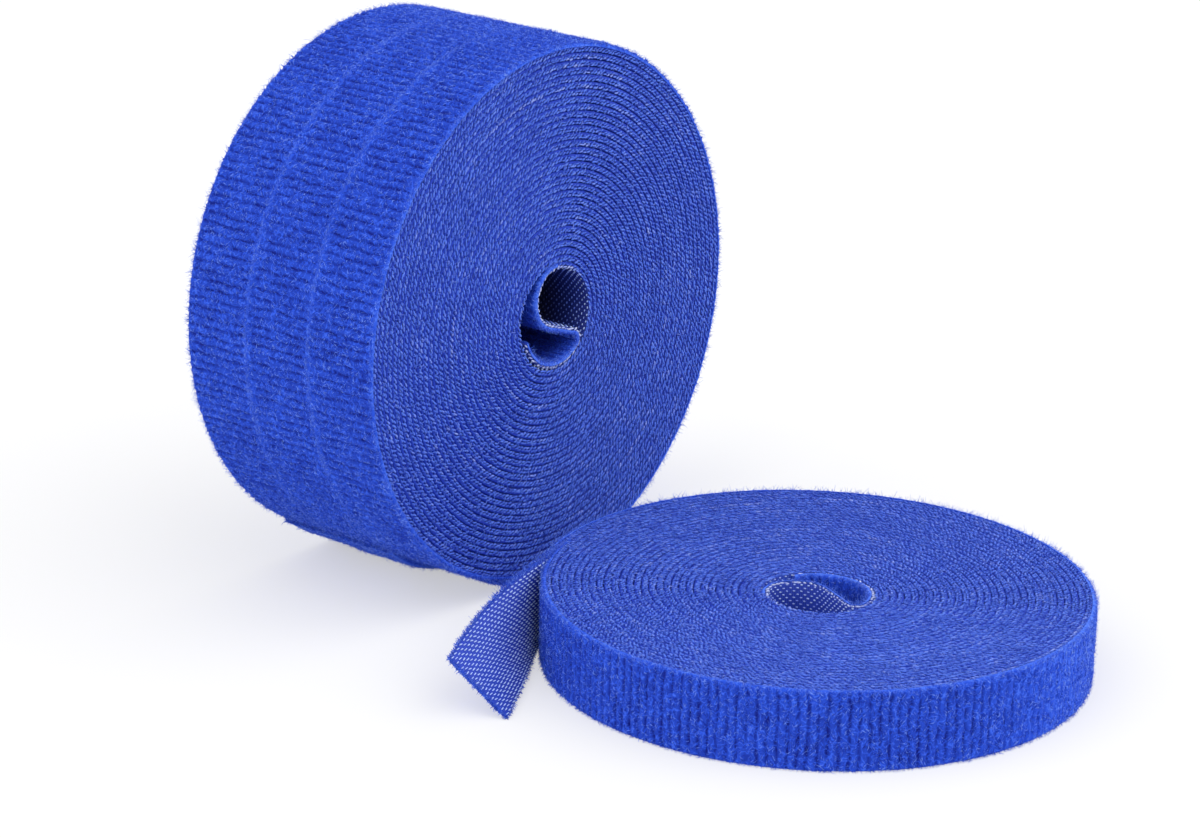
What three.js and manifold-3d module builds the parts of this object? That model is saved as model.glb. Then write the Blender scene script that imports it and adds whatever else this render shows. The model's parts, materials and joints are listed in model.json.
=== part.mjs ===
// Four rolls of back-to-back hook and loop tape, wound without a core.
// Three stand on edge side by side. One lies flat in front of them, with its free end pulled off.
// Millimetres, +Z up, standing on z = 0, with the origin under the middle of the set.
import * as THREE from 'three';
import { mergeVertices } from 'three/addons/utils/BufferGeometryUtils.js';
import Module from 'manifold-3d';

const degrees = THREE.MathUtils.degToRad;

// Tape: a hook web and a loop web, bonded back to back
const TAPE_WIDTH = 12.7;
const HOOK_WEB = 0.45;
const LOOP_WEB = 0.6;
const BOND_GAP = 0.1;
const TAPE_THICKNESS = HOOK_WEB + BOND_GAP + LOOP_WEB;

// Winding: about thirty layers of tape, drawn as loops two layers thick
const LAYERS_PER_LOOP = 2;
const LOOP_GAP = 0.7;
const STEPS_PER_LOOP = 18;
const LOOP_PITCH = LAYERS_PER_LOOP * TAPE_THICKNESS;
const LOOP_THICKNESS = LOOP_PITCH - LOOP_GAP;

// Eye: the inner end of the tape lies along the wall, turns back across the hole and swings round a lobe
const EYE_RADIUS = 8.1;
const LOBE_RADIUS = 4.6;
const FOLD_RADIUS = 1.9;
const FIRST_LOOP_ANGLE = degrees(90);
const FOLD_ANGLE = degrees(227);
const INNER_END_STEPS = 8;
const FOLD_STEPS = 4;
const LOBE_STEPS = 6;

// Outer end of a standing roll: a short flap that lifts off the roll towards its cut end
const FRONT_FLAP = 9.5;
const MIDDLE_FLAP = 13.5;
const REAR_FLAP = 10;
const FLAP_LIFT = 0.5;
const FLAP_STEPS = 4;

// Outer end of the lying roll: a tail that keeps a slight bend, with its top edge leaning away from the roll
const TAIL_BASE_LENGTH = 21;
const TAIL_TIP_LENGTH = 20;
const TAIL_BEND_RADIUS = 380;
const TAIL_LEAN = degrees(47);
const TAIL_STEPS = 4;

// Places: spaces between the rolls, and how far a standing roll flattens where it rests
const SEAT_GAP = 0.3;
const STACK_GAP = 0.3;
const FOOT_FLAT = 0.5;
const LYING_CLEARANCE = 9.2;
const LYING_ASIDE = 0.3;
const STACK_EYE_ASIDE = 1;
const STACK_EYE_DROP = 0.5;
const LYING_EYE_OFFSET = 2.3;

// Side of a roll, in its own plane, that a standing roll rests on
const FOOT_ANGLE = degrees(90);

// Each roll: its whole loops, how far its eye is turned and off centre, where the tape's inner end lies in the
// eye, how far past the foot its last loop ends, and the length of a standing roll's flap
const STACK_EYE = {
  spin: degrees(180),
  eyeShift: [STACK_EYE_ASIDE, STACK_EYE_DROP],
  innerEnd: degrees(340),
};
const STANDING_ROLLS = [
  { name: 'front_roll', loops: 15, ...STACK_EYE, pastFoot: degrees(6), flap: FRONT_FLAP },
  { name: 'middle_roll', loops: 15, ...STACK_EYE, pastFoot: degrees(14), flap: MIDDLE_FLAP },
  { name: 'rear_roll', loops: 15, ...STACK_EYE, pastFoot: degrees(16), flap: REAR_FLAP },
];
const LYING_ROLL = {
  name: 'lying_roll',
  loops: 14,
  spin: degrees(46),
  eyeShift: [-LYING_EYE_OFFSET, -LYING_EYE_OFFSET],
  innerEnd: degrees(380),
  pastFoot: degrees(19),
};

const COIL_BLUE = new THREE.MeshStandardMaterial({ color: 0x3250c4, roughness: 0.9, metalness: 0 });
const LOOP_BLUE = new THREE.MeshStandardMaterial({ color: 0x2d55d7, roughness: 0.95, metalness: 0 });
const HOOK_BLUE = new THREE.MeshStandardMaterial({ color: 0x4448b8, roughness: 0.6, metalness: 0 });

const ACROSS = new THREE.Vector3(0, 0, 1);
const wasm = await Module();
wasm.setup();

/** Unit vector at an angle in the plane of a roll. */
function direction(angle) {
  return new THREE.Vector3(Math.cos(angle), Math.sin(angle), 0);
}

/** Radius of the coil's inner wall, an angle after its first loop starts. */
function coilRadius(wound) {
  return EYE_RADIUS + (LOOP_PITCH * wound) / (2 * Math.PI);
}

/** Angle that a roll winds through, from its first loop to the end of its last. */
function woundAngle({ loops, spin, pastFoot }) {
  const toFoot = THREE.MathUtils.euclideanModulo(FOOT_ANGLE - spin - FIRST_LOOP_ANGLE, 2 * Math.PI);
  return 2 * Math.PI * loops + toFoot + pastFoot;
}

/**
 * Stations along an arc on the tape's hook face; a negative sweep runs clockwise.
 * A station has a point at mid width, the way out to the loop face and the way up the width.
 */
function arcStations(centre, radius, start, sweep, steps) {
  return Array.from({ length: steps + 1 }, (_, i) => {
    const ray = direction(start + (sweep * i) / steps);
    return {
      point: ray.clone().multiplyScalar(radius).add(centre),
      out: ray.multiplyScalar(Math.sign(sweep)),
      up: ACROSS,
    };
  });
}

/** Stations of the wound loops: a spiral whose centre moves from the eye's to the roll's. */
function coilStations(roll) {
  const wound = woundAngle(roll);
  const step = (2 * Math.PI) / STEPS_PER_LOOP;
  const angles = Array.from({ length: Math.ceil(wound / step) }, (_, i) => i * step);
  return [...angles, wound].map((angle) => {
    const ray = direction(FIRST_LOOP_ANGLE + angle);
    const point = ray.clone().multiplyScalar(coilRadius(angle)).add(loopCentre(roll, angle));
    return { point, out: ray, up: ACROSS };
  });
}

/** Centre of the loop at a wound angle: the eye's centre for one loop, then evenly out to the roll's. */
function loopCentre(roll, angle) {
  const firstLoop = 2 * Math.PI;
  const progress = Math.max(0, (angle - firstLoop) / (woundAngle(roll) - firstLoop));
  const eye = new THREE.Vector3(...roll.eyeShift, 0).applyAxisAngle(ACROSS, -roll.spin);
  return eye.multiplyScalar(1 - progress);
}

/** Stations of the inner end: along the wall, back across the eye and round the lobe to the first loop. */
function eyeFoldStations(roll) {
  const wall = coilRadius(FOLD_ANGLE - FIRST_LOOP_ANGLE) * Math.cos(Math.PI / STEPS_PER_LOOP);
  const seat = wall - SEAT_GAP;
  const eye = loopCentre(roll, 0);
  const fold = direction(FOLD_ANGLE).multiplyScalar(seat - FOLD_RADIUS);
  const lobe = direction(FIRST_LOOP_ANGLE).multiplyScalar(EYE_RADIUS - LOBE_RADIUS);
  const span = lobe.clone().sub(fold);
  const heading = Math.atan2(span.y, span.x) - Math.asin((FOLD_RADIUS + LOBE_RADIUS) / span.length());
  const quarter = Math.PI / 2;
  const foldSweep = heading + quarter - FOLD_ANGLE;
  const lobeStart = heading - quarter;
  const lobeSweep = FIRST_LOOP_ANGLE - lobeStart - SEAT_GAP / LOBE_RADIUS;
  const alongWall = arcStations(eye, seat, roll.innerEnd, FOLD_ANGLE - roll.innerEnd, INNER_END_STEPS);
  const turnBack = arcStations(fold.add(eye), FOLD_RADIUS, FOLD_ANGLE, foldSweep, FOLD_STEPS);
  const roundLobe = arcStations(lobe.add(eye), LOBE_RADIUS, lobeStart, lobeSweep, LOBE_STEPS);
  return [...alongWall, ...turnBack.slice(1), ...roundLobe];
}

/** Stations of a standing roll's outer end, which lifts off the roll towards its cut end. */
function flapStations(roll) {
  const wound = woundAngle(roll);
  const start = SEAT_GAP / coilRadius(wound);
  const sweep = roll.flap / coilRadius(wound);
  return Array.from({ length: FLAP_STEPS + 1 }, (_, i) => {
    const progress = i / FLAP_STEPS;
    const angle = wound + start + sweep * progress;
    const ray = direction(FIRST_LOOP_ANGLE + angle);
    const point = ray.clone().multiplyScalar(coilRadius(angle) + FLAP_LIFT * progress ** 2);
    return { point, out: ray, up: ACROSS };
  });
}

/** Stations of the lying roll's tail between two lengths along it, with its lower edge on the ground. */
function tailStations(roll, from, to) {
  const wound = woundAngle(roll);
  const length = TAIL_BASE_LENGTH + TAIL_TIP_LENGTH;
  const root = direction(FIRST_LOOP_ANGLE + wound);
  return Array.from({ length: TAIL_STEPS + 1 }, (_, i) => {
    const distance = from + ((to - from) * i) / TAIL_STEPS;
    const lean = TAIL_LEAN * THREE.MathUtils.smoothstep(distance, 0, length);
    const ray = direction(FIRST_LOOP_ANGLE + wound + distance / TAIL_BEND_RADIUS);
    const along = ACROSS.clone().cross(ray);
    const point = root.clone().multiplyScalar(coilRadius(wound) - TAIL_BEND_RADIUS)
      .addScaledVector(ray, TAIL_BEND_RADIUS);
    const lift = (TAPE_WIDTH / 2) * Math.cos(lean) + TAPE_THICKNESS * Math.sin(lean);
    point.z = lift - TAPE_WIDTH / 2;
    return {
      point,
      out: ray.clone().applyAxisAngle(along, lean),
      up: ACROSS.clone().applyAxisAngle(along, lean),
    };
  });
}

/**
 * Closed strip of the tape's width along stations, between two depths from the hook face.
 * Its near and far walls are split along the same diagonal, so twisted webs stay parallel.
 */
function stripGeometry(stations, nearDepth, farDepth) {
  const half = TAPE_WIDTH / 2;
  const corners = [[nearDepth, -half], [farDepth, -half], [farDepth, half], [nearDepth, half]];
  const sides = corners.length;
  const positions = stations.flatMap(({ point, out, up }) => corners.flatMap(([depth, rise]) => (
    point.clone().addScaledVector(out, depth).addScaledVector(up, rise).toArray()
  )));
  const index = [0, 1, 2, 0, 2, 3];
  for (let station = 0; station + 1 < stations.length; station += 1) {
    for (let side = 0; side < sides; side += 1) {
      const a = station * sides + side;
      const b = station * sides + ((side + 1) % sides);
      if (side < 2) {
        index.push(a, a + sides, b + sides, a, b + sides, b);
      } else {
        index.push(a, a + sides, b, a + sides, b + sides, b);
      }
    }
  }
  const last = (stations.length - 1) * sides;
  index.push(last, last + 2, last + 1, last, last + 3, last + 2);
  const geometry = new THREE.BufferGeometry();
  geometry.setAttribute('position', new THREE.Float32BufferAttribute(positions, 3));
  geometry.setIndex(index);
  return geometry;
}

/** Solid for boolean work, from a closed geometry. */
function toSolid(geometry) {
  const bare = geometry.clone();
  bare.deleteAttribute('normal');
  bare.deleteAttribute('uv');
  const merged = mergeVertices(bare);
  return new wasm.Manifold(new wasm.Mesh({
    numProp: 3,
    vertProperties: new Float32Array(merged.attributes.position.array),
    triVerts: new Uint32Array(merged.index.array),
  }));
}

/** Geometry of a solid. */
function fromSolid(solid) {
  const { vertProperties, triVerts } = solid.getMesh();
  const geometry = new THREE.BufferGeometry();
  geometry.setAttribute('position', new THREE.Float32BufferAttribute(vertProperties, 3));
  geometry.setIndex(Array.from(triVerts));
  return geometry;
}

/** Coil turned to its place on the foot, with the part past the foot's depth cut off flat. */
function cutFoot(geometry, depth) {
  const size = 2 * depth;
  const ground = new THREE.BoxGeometry(size, size, size).translate(0, depth + size / 2, 0);
  return fromSolid(toSolid(geometry).subtract(toSolid(ground)));
}

/** Least gap between the outer wall of any loop and the inner wall of the loops outside it. */
function leastLoopGap(stations) {
  const wall = new THREE.Line3();
  const nearest = new THREE.Vector3();
  let least = Infinity;
  stations.forEach(({ point, out }, i) => {
    const outside = point.clone().addScaledVector(out, LOOP_THICKNESS);
    for (let j = i + STEPS_PER_LOOP - 2; j + 1 < stations.length; j += 1) {
      wall.set(stations[j].point, stations[j + 1].point);
      wall.closestPointToPoint(outside, true, nearest);
      least = Math.min(least, nearest.distanceTo(outside));
    }
  });
  return least;
}

function namedMesh(name, geometry, material) {
  const mesh = new THREE.Mesh(geometry, material);
  mesh.name = name;
  return mesh;
}

/** The two webs of a free stretch of tape, each a mesh of its own. */
function webMeshes(name, stations) {
  const loopDepth = HOOK_WEB + BOND_GAP;
  return [
    namedMesh(`${name}_hook_web`, stripGeometry(stations, 0, HOOK_WEB), HOOK_BLUE),
    namedMesh(`${name}_loop_web`, stripGeometry(stations, loopDepth, TAPE_THICKNESS), LOOP_BLUE),
  ];
}

/** Group holding a roll's pieces, turned by its spin, with its loops' geometry and inner end. */
function rollGroup(roll) {
  const stations = coilStations(roll);
  console.log(`${roll.name}_coil: least gap between loops ${leastLoopGap(stations).toFixed(3)} mm`);
  const coil = stripGeometry(stations, 0, LOOP_THICKNESS).rotateZ(roll.spin);
  const pieces = new THREE.Group();
  pieces.rotation.z = roll.spin;
  pieces.add(...webMeshes(`${roll.name}_eye_fold`, eyeFoldStations(roll)));
  const group = new THREE.Group();
  group.add(pieces);
  return { group, pieces, coil };
}

/** Roll standing on edge, at its place in the stack. */
function standingRoll(roll, place) {
  const { group, pieces, coil } = rollGroup(roll);
  coil.computeBoundingBox();
  const height = coil.boundingBox.max.y - FOOT_FLAT;
  pieces.add(...webMeshes(`${roll.name}_outer_end`, flapStations(roll)));
  group.add(namedMesh(`${roll.name}_coil`, cutFoot(coil, height), COIL_BLUE));
  group.rotation.x = -Math.PI / 2;
  group.position.set(0, TAPE_WIDTH / 2 + place * (TAPE_WIDTH + STACK_GAP), height);
  return group;
}

/** Roll lying flat before the stack, with its tail in a base and a tip. */
function lyingRoll(roll) {
  const { group, pieces, coil } = rollGroup(roll);
  const tip = TAIL_BASE_LENGTH + SEAT_GAP;
  const end = TAIL_BASE_LENGTH + TAIL_TIP_LENGTH;
  pieces.add(...webMeshes(`${roll.name}_tail_base`, tailStations(roll, SEAT_GAP, TAIL_BASE_LENGTH)));
  pieces.add(...webMeshes(`${roll.name}_tail_tip`, tailStations(roll, tip, end)));
  group.add(namedMesh(`${roll.name}_coil`, coil, COIL_BLUE));
  const outside = coilRadius(woundAngle(roll)) + LOOP_THICKNESS;
  group.position.set(LYING_ASIDE, -LYING_CLEARANCE - outside, TAPE_WIDTH / 2);
  return group;
}

const set = new THREE.Group();
STANDING_ROLLS.forEach((roll, place) => set.add(standingRoll(roll, place)));
set.add(lyingRoll(LYING_ROLL));

const bounds = new THREE.Box3().setFromObject(set, true);
const centre = bounds.getCenter(new THREE.Vector3());
set.position.set(-centre.x, -centre.y, -bounds.min.z);

export default set;
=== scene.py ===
"""Looks of four rolls of back-to-back hook and loop tape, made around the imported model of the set.

Three rolls stand on edge in a stack. One lies flat before them, with its free end pulled off. Each roll is
one tape, a woven hook web and a loop web with brushed pile, folded in an S at the eye and wound layer on
layer. Lengths are in millimetres and in the row frame; meshes are written out in metres.
"""

import json
import logging
import math
from collections.abc import Callable
from dataclasses import dataclass, field
from enum import Enum, IntEnum
from functools import cache

import bpy
import numpy as np
from mathutils import Matrix, Vector

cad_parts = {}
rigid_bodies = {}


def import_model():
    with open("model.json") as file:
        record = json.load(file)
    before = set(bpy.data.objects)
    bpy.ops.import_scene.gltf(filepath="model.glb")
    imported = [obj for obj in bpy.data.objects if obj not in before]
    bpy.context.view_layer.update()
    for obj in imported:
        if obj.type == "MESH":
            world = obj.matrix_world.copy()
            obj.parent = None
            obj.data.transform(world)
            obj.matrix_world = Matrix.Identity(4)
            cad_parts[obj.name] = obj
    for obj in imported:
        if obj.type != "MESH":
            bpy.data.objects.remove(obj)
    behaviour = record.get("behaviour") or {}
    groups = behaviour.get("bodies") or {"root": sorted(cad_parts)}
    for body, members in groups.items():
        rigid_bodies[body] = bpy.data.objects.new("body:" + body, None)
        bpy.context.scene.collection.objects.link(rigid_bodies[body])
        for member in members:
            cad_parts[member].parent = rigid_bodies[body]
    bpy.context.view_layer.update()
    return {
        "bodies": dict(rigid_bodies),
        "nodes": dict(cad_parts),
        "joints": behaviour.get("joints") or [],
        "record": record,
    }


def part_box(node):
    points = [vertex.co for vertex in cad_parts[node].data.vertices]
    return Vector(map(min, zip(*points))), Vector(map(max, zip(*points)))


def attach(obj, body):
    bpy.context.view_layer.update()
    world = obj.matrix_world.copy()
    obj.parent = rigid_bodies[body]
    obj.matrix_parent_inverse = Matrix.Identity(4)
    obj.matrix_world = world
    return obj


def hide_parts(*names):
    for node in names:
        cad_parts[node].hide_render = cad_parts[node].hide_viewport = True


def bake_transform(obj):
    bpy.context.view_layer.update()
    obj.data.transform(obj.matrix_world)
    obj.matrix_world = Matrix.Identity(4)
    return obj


log = logging.getLogger("tape_rolls")

Array = np.ndarray
Colour = tuple[float, float, float]

MM = 0.001
TURN = 2 * math.pi

# Bake map: where the faces of strips, beads and threads lie in the unit square.
BAKE_MAP = "OFBake"
CELL_MARGIN = 0.08
STRIP_GIRTH = 26.0
ROW_FILL = 0.96
SIDES_TOP = 0.97
CAP_FILL = 0.9
CAP_BAND = (0.975, 0.995)
BEAD_BAND = (0.3, 0.7)
THREAD_TOP = 0.88
THREAD_CAPS = (((0.0, 0.9), (0.3, 0.9), (0.15, 1.0)), ((0.5, 0.9), (0.8, 0.9), (0.65, 1.0)))

# The three points of a loose fibre: along its length from the middle, from its root, and how far it bows.
SPAN = np.array([[-0.5, 0.0, 0.5]])
ROOTED = np.array([[0.0, 0.5, 1.0]])
BOW = np.array([[0.0, 1.0, 0.0]])


def unit(vectors: Array) -> Array:
    """Vectors brought to length 1."""
    return vectors / np.linalg.norm(vectors, axis=-1, keepdims=True)


def eased(share: Array) -> Array:
    """Shares from 0 to 1 that start and end gently."""
    return share * share * (3 - 2 * share)


def srgb(red: int, green: int, blue: int) -> Colour:
    """Linear colour of an 8-bit sRGB one.

    Args:
        red: red part, 0 to 255.
        green: green part, 0 to 255.
        blue: blue part, 0 to 255.

    Returns:
        The colour as Blender's sockets take it, without alpha.
    """
    parts = np.array([red, green, blue]) / 255
    linear = np.where(parts <= 0.04045, parts / 12.92, ((parts + 0.055) / 1.055) ** 2.4)
    return tuple(linear.tolist())


@dataclass(frozen=True)
class SmoothNoise:
    """Seeded noise over a plane, from -1 to 1, with one random value to each unit cell.

    Attributes:
        seed: seed of its random draws.
        cells: cells along each side, after which it repeats.
    """

    seed: int
    cells: int = 211

    def at(self, x: Array, y: Array) -> Array:
        """Noise at points of the plane.

        Args:
            x: first coordinates, in cells.
            y: second coordinates, in cells.

        Returns:
            One value for each point.
        """
        lattice = np.random.default_rng(self.seed).uniform(-1, 1, (self.cells, self.cells))
        column = np.floor(x).astype(int)
        row = np.floor(y).astype(int)
        right = eased(x - column)
        down = eased(y - row)
        columns = (column % self.cells, (column + 1) % self.cells)
        rows = (row % self.cells, (row + 1) % self.cells)
        upper = lattice[columns[0], rows[0]] * (1 - right) + lattice[columns[1], rows[0]] * right
        lower = lattice[columns[0], rows[1]] * (1 - right) + lattice[columns[1], rows[1]] * right
        return upper * (1 - down) + lower * down


class SeedStep(IntEnum):
    """What random draws are for, as steps from a seed."""

    RIB_WANDER = 0
    RIB_GAPS = 1
    RIB_GRAIN = 2
    STRANDS = 3
    STRAYS = 4
    RIB_SHIVER = 5
    LINT = 10
    EYE_NAP = 20
    EYE_HOOKS = 30
    SELVEDGE = 40
    END_HOOKS = 50
    CUT_FRAY = 60
    SIDE_FRAY = 65


class Value:
    """A number that varies over a surface; arithmetic on it adds Math nodes."""

    def __init__(self, paint: "Paint", socket: bpy.types.NodeSocket) -> None:
        """Wraps an output socket of one of a paint's nodes."""
        self.paint = paint
        self.socket = socket

    def maths(self, operation: str, *terms: "Value | float") -> "Value":
        """Result of a Math node on these terms."""
        node = self.paint.node("ShaderNodeMath", {"operation": operation}, dict(enumerate(terms)))
        return Value(self.paint, node.outputs[0])

    def __add__(self, other: "Value | float") -> "Value":
        """Sum."""
        return self.maths("ADD", self, other)

    def __radd__(self, other: float) -> "Value":
        """Sum with the number first."""
        return self.maths("ADD", other, self)

    def __sub__(self, other: "Value | float") -> "Value":
        """Difference."""
        return self.maths("SUBTRACT", self, other)

    def __rsub__(self, other: float) -> "Value":
        """Difference with the number first."""
        return self.maths("SUBTRACT", other, self)

    def __mul__(self, other: "Value | float") -> "Value":
        """Product."""
        return self.maths("MULTIPLY", self, other)

    def __rmul__(self, other: float) -> "Value":
        """Product with the number first."""
        return self.maths("MULTIPLY", other, self)

    def sine(self) -> "Value":
        """Sine of an angle in radians."""
        return self.maths("SINE", self)

    def crest(self, middle: float, width: float) -> "Value":
        """Number that is 1 at a middle value and falls to 0 a width away on both sides."""
        away = self.maths("ABSOLUTE", self - middle)
        return self.maths("MAXIMUM", 1 - away * (1 / width), 0.0)


class Paint:
    """Node tree of a material or a world, written as calls and expressions."""

    def __init__(self, owner: bpy.types.Material | bpy.types.World) -> None:
        """Empties the owner's node tree.

        Args:
            owner: the material or world.
        """
        owner.use_nodes = True
        self.tree = owner.node_tree
        self.tree.nodes.clear()

    def node(self, kind: str, settings: dict[str, object],
             inputs: dict[str | int, object]) -> bpy.types.Node:
        """Adds one node.

        Args:
            kind: Blender's name for the node's type.
            settings: properties of the node, which are set first.
            inputs: a value, colour, socket or Value for each input, by its name or number.

        Returns:
            The new node.
        """
        made = self.tree.nodes.new(kind)
        for key, setting in settings.items():
            setattr(made, key, setting)
        for key, given in inputs.items():
            socket = made.inputs[key]
            source = given.socket if isinstance(given, Value) else given
            if isinstance(source, bpy.types.NodeSocket):
                self.tree.links.new(source, socket)
            elif socket.type == "RGBA":
                socket.default_value = (*source, 1.0)
            else:
                socket.default_value = source
        return made

    def mark(self, name: str) -> Value:
        """Number that the mesh's points carry under a name."""
        return Value(self, self.node("ShaderNodeAttribute", {"attribute_name": name}, {}).outputs["Fac"])

    def noise(self, size: float, detail: float) -> Value:
        """Noise from 0 to 1.

        Args:
            size: rough size of its blots, in millimetres.
            detail: finer layers of noise in it.

        Returns:
            The noise.
        """
        place = self.node("ShaderNodeTexCoord", {}, {}).outputs["Object"]
        inputs = {"Vector": place, "Scale": 1 / (size * MM), "Detail": detail}
        return Value(self, self.node("ShaderNodeTexNoise", {}, inputs).outputs["Fac"])

    def mix(self, share: Value, low: object, high: object) -> bpy.types.NodeSocket:
        """Colour between two others, with the share held between 0 and 1."""
        return self.node("ShaderNodeMix", {"data_type": "RGBA"}, {0: share, 6: low, 7: high}).outputs[2]

    def bump(self, height: Value, distance: float, strength: float) -> bpy.types.NodeSocket:
        """Normal of a surface with a relief of a depth in millimetres."""
        inputs = {"Height": height, "Distance": distance * MM, "Strength": strength}
        return self.node("ShaderNodeBump", {}, inputs).outputs["Normal"]

    def fibre(self, inputs: dict[str | int, object]) -> None:
        """Closes the tree with a cloth surface of these inputs."""
        shader = self.node("ShaderNodeBsdfPrincipled", {}, inputs)
        self.node("ShaderNodeOutputMaterial", {}, {"Surface": shader.outputs["BSDF"]})


@dataclass(frozen=True)
class YarnFinish:
    """Dyed nylon yarn in three tones, from the dark of its depth to its lit tips.

    Each mesh carries a shade from 0 to 1 on its points, which picks the tone. The shade holds random tone
    as well as painted shade and painted light.

    Attributes:
        name: name of its material.
        deep: colour at shade 0.
        body: colour at shade 0.5.
        tip: colour at shade 1, and of its sheen.
        roughness: middle of its roughness.
        sheen: strength of its sheen.
        curl: how far curls of fibre stand out.
        curl_size: size of the noise that curls follow.
        curl_width: half width of a curl in that noise.
        blot: how far its tone varies.
        blot_size: size of the larger blots.
        grain_size: size of the finer ones, and of its relief.
        grain_depth: depth of its relief.
        relief: strength of its relief.
        roughness_spread: how far its roughness varies.
        specular: strength of its reflections.
        sheen_roughness: roughness of its sheen.
    """

    name: str
    deep: Colour
    body: Colour
    tip: Colour
    roughness: float
    sheen: float
    curl: float = 0.0
    curl_size: float = 1.1
    curl_width: float = 0.05
    blot: float = 0.25
    blot_size: float = 6.0
    grain_size: float = 0.22
    grain_depth: float = 0.05
    relief: float = 0.5
    roughness_spread: float = 0.2
    specular: float = 0.25
    sheen_roughness: float = 0.45

    @cache
    def material(self) -> bpy.types.Material:
        """Makes the material of this finish, once.

        Returns:
            The material.
        """
        made = bpy.data.materials.new(self.name)
        paint = Paint(made)
        grain = paint.noise(self.grain_size, detail=2.0)
        blots = paint.noise(self.blot_size, detail=3.0)
        curls = paint.noise(self.curl_size, detail=1.0).crest(0.5, self.curl_width)
        relief = grain + curls * self.curl * 2
        level = paint.mark("shade") + (blots - 0.5) * self.blot + (grain - 0.5) * self.blot
        level = level + curls * self.curl
        lower = paint.mix(level * 2, self.deep, self.body)
        paint.fibre({
            "Base Color": paint.mix(level * 2 - 1, lower, self.tip),
            "Roughness": self.roughness + (grain - 0.5) * self.roughness_spread,
            "Normal": paint.bump(relief, self.grain_depth, self.relief),
            "Specular IOR Level": self.specular,
            "Sheen Weight": self.sheen,
            "Sheen Roughness": self.sheen_roughness,
            "Sheen Tint": self.tip,
        })
        return made


@dataclass(frozen=True)
class WovenFinish:
    """Plain woven ground: fine weft lines across the tape over warp threads along it.

    Each mesh carries a painted shade from 0 to 1 on its points, from the dark between layers to the open
    light.

    Attributes:
        name: name of its material.
        gap: colour painted where it lies in shade.
        ground: colour between its threads.
        thread: colour of its threads.
        weft_spacing: distance between weft threads, which run across the tape.
        warp_spacing: distance between warp threads, which run along it.
        weft: share of the weave's relief that follows the weft.
        crossing: share that follows the crossings of weft and warp.
        wear: how far its tone varies.
        wear_size: size of its worn spots.
        relief_depth: depth of its relief.
        relief: strength of its relief.
        roughness: middle of its roughness.
        roughness_spread: how far its roughness varies.
        specular: strength of its reflections.
    """

    name: str
    gap: Colour
    ground: Colour
    thread: Colour
    weft_spacing: float = 0.36
    warp_spacing: float = 0.64
    weft: float = 0.3
    crossing: float = 0.2
    wear: float = 0.3
    wear_size: float = 5.0
    relief_depth: float = 0.06
    relief: float = 0.8
    roughness: float = 0.55
    roughness_spread: float = 0.2
    specular: float = 0.2

    @cache
    def material(self) -> bpy.types.Material:
        """Makes the material of this finish, once.

        Returns:
            The material.
        """
        made = bpy.data.materials.new(self.name)
        paint = Paint(made)
        weft = (paint.mark("along") * (TURN / self.weft_spacing)).sine()
        warp = (paint.mark("rise") * (TURN / self.warp_spacing)).sine()
        weave = weft * self.weft + weft * warp * self.crossing + 0.5
        wear = paint.noise(self.wear_size, detail=3.0)
        level = weave + (wear - 0.5) * self.wear
        lit = paint.mix(level, self.ground, self.thread)
        paint.fibre({
            "Base Color": paint.mix(paint.mark("shade"), self.gap, lit),
            "Roughness": self.roughness + (wear - 0.5) * self.roughness_spread,
            "Normal": paint.bump(weave, self.relief_depth, self.relief),
            "Specular IOR Level": self.specular,
        })
        return made


class Finish(Enum):
    """Finishes of the tape's parts."""

    NAP = YarnFinish("loop_nap", srgb(4, 20, 124), srgb(38, 82, 216), srgb(84, 128, 244),
                     roughness=0.9, sheen=0.25, curl=0.4)
    STRAND = YarnFinish("nap_strand", srgb(10, 38, 170), srgb(48, 92, 228), srgb(132, 168, 252),
                        roughness=0.8, sheen=0.25)
    EDGE = YarnFinish("web_edge", srgb(20, 36, 146), srgb(48, 80, 210), srgb(84, 112, 222),
                      roughness=0.8, sheen=0.1)
    STITCH = YarnFinish("selvedge_stitch", srgb(30, 60, 190), srgb(84, 124, 236), srgb(194, 204, 246),
                        roughness=0.7, sheen=0.15)
    HOOK = YarnFinish("hook_tip", srgb(30, 26, 86), srgb(108, 138, 244), srgb(194, 216, 255),
                      roughness=0.4, sheen=0.0)
    # The hook ground's first colour is painted shade, for where it lies in the dark.
    WEAVE = WovenFinish("hook_ground", srgb(12, 8, 46), srgb(33, 54, 166), srgb(56, 86, 208))


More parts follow.
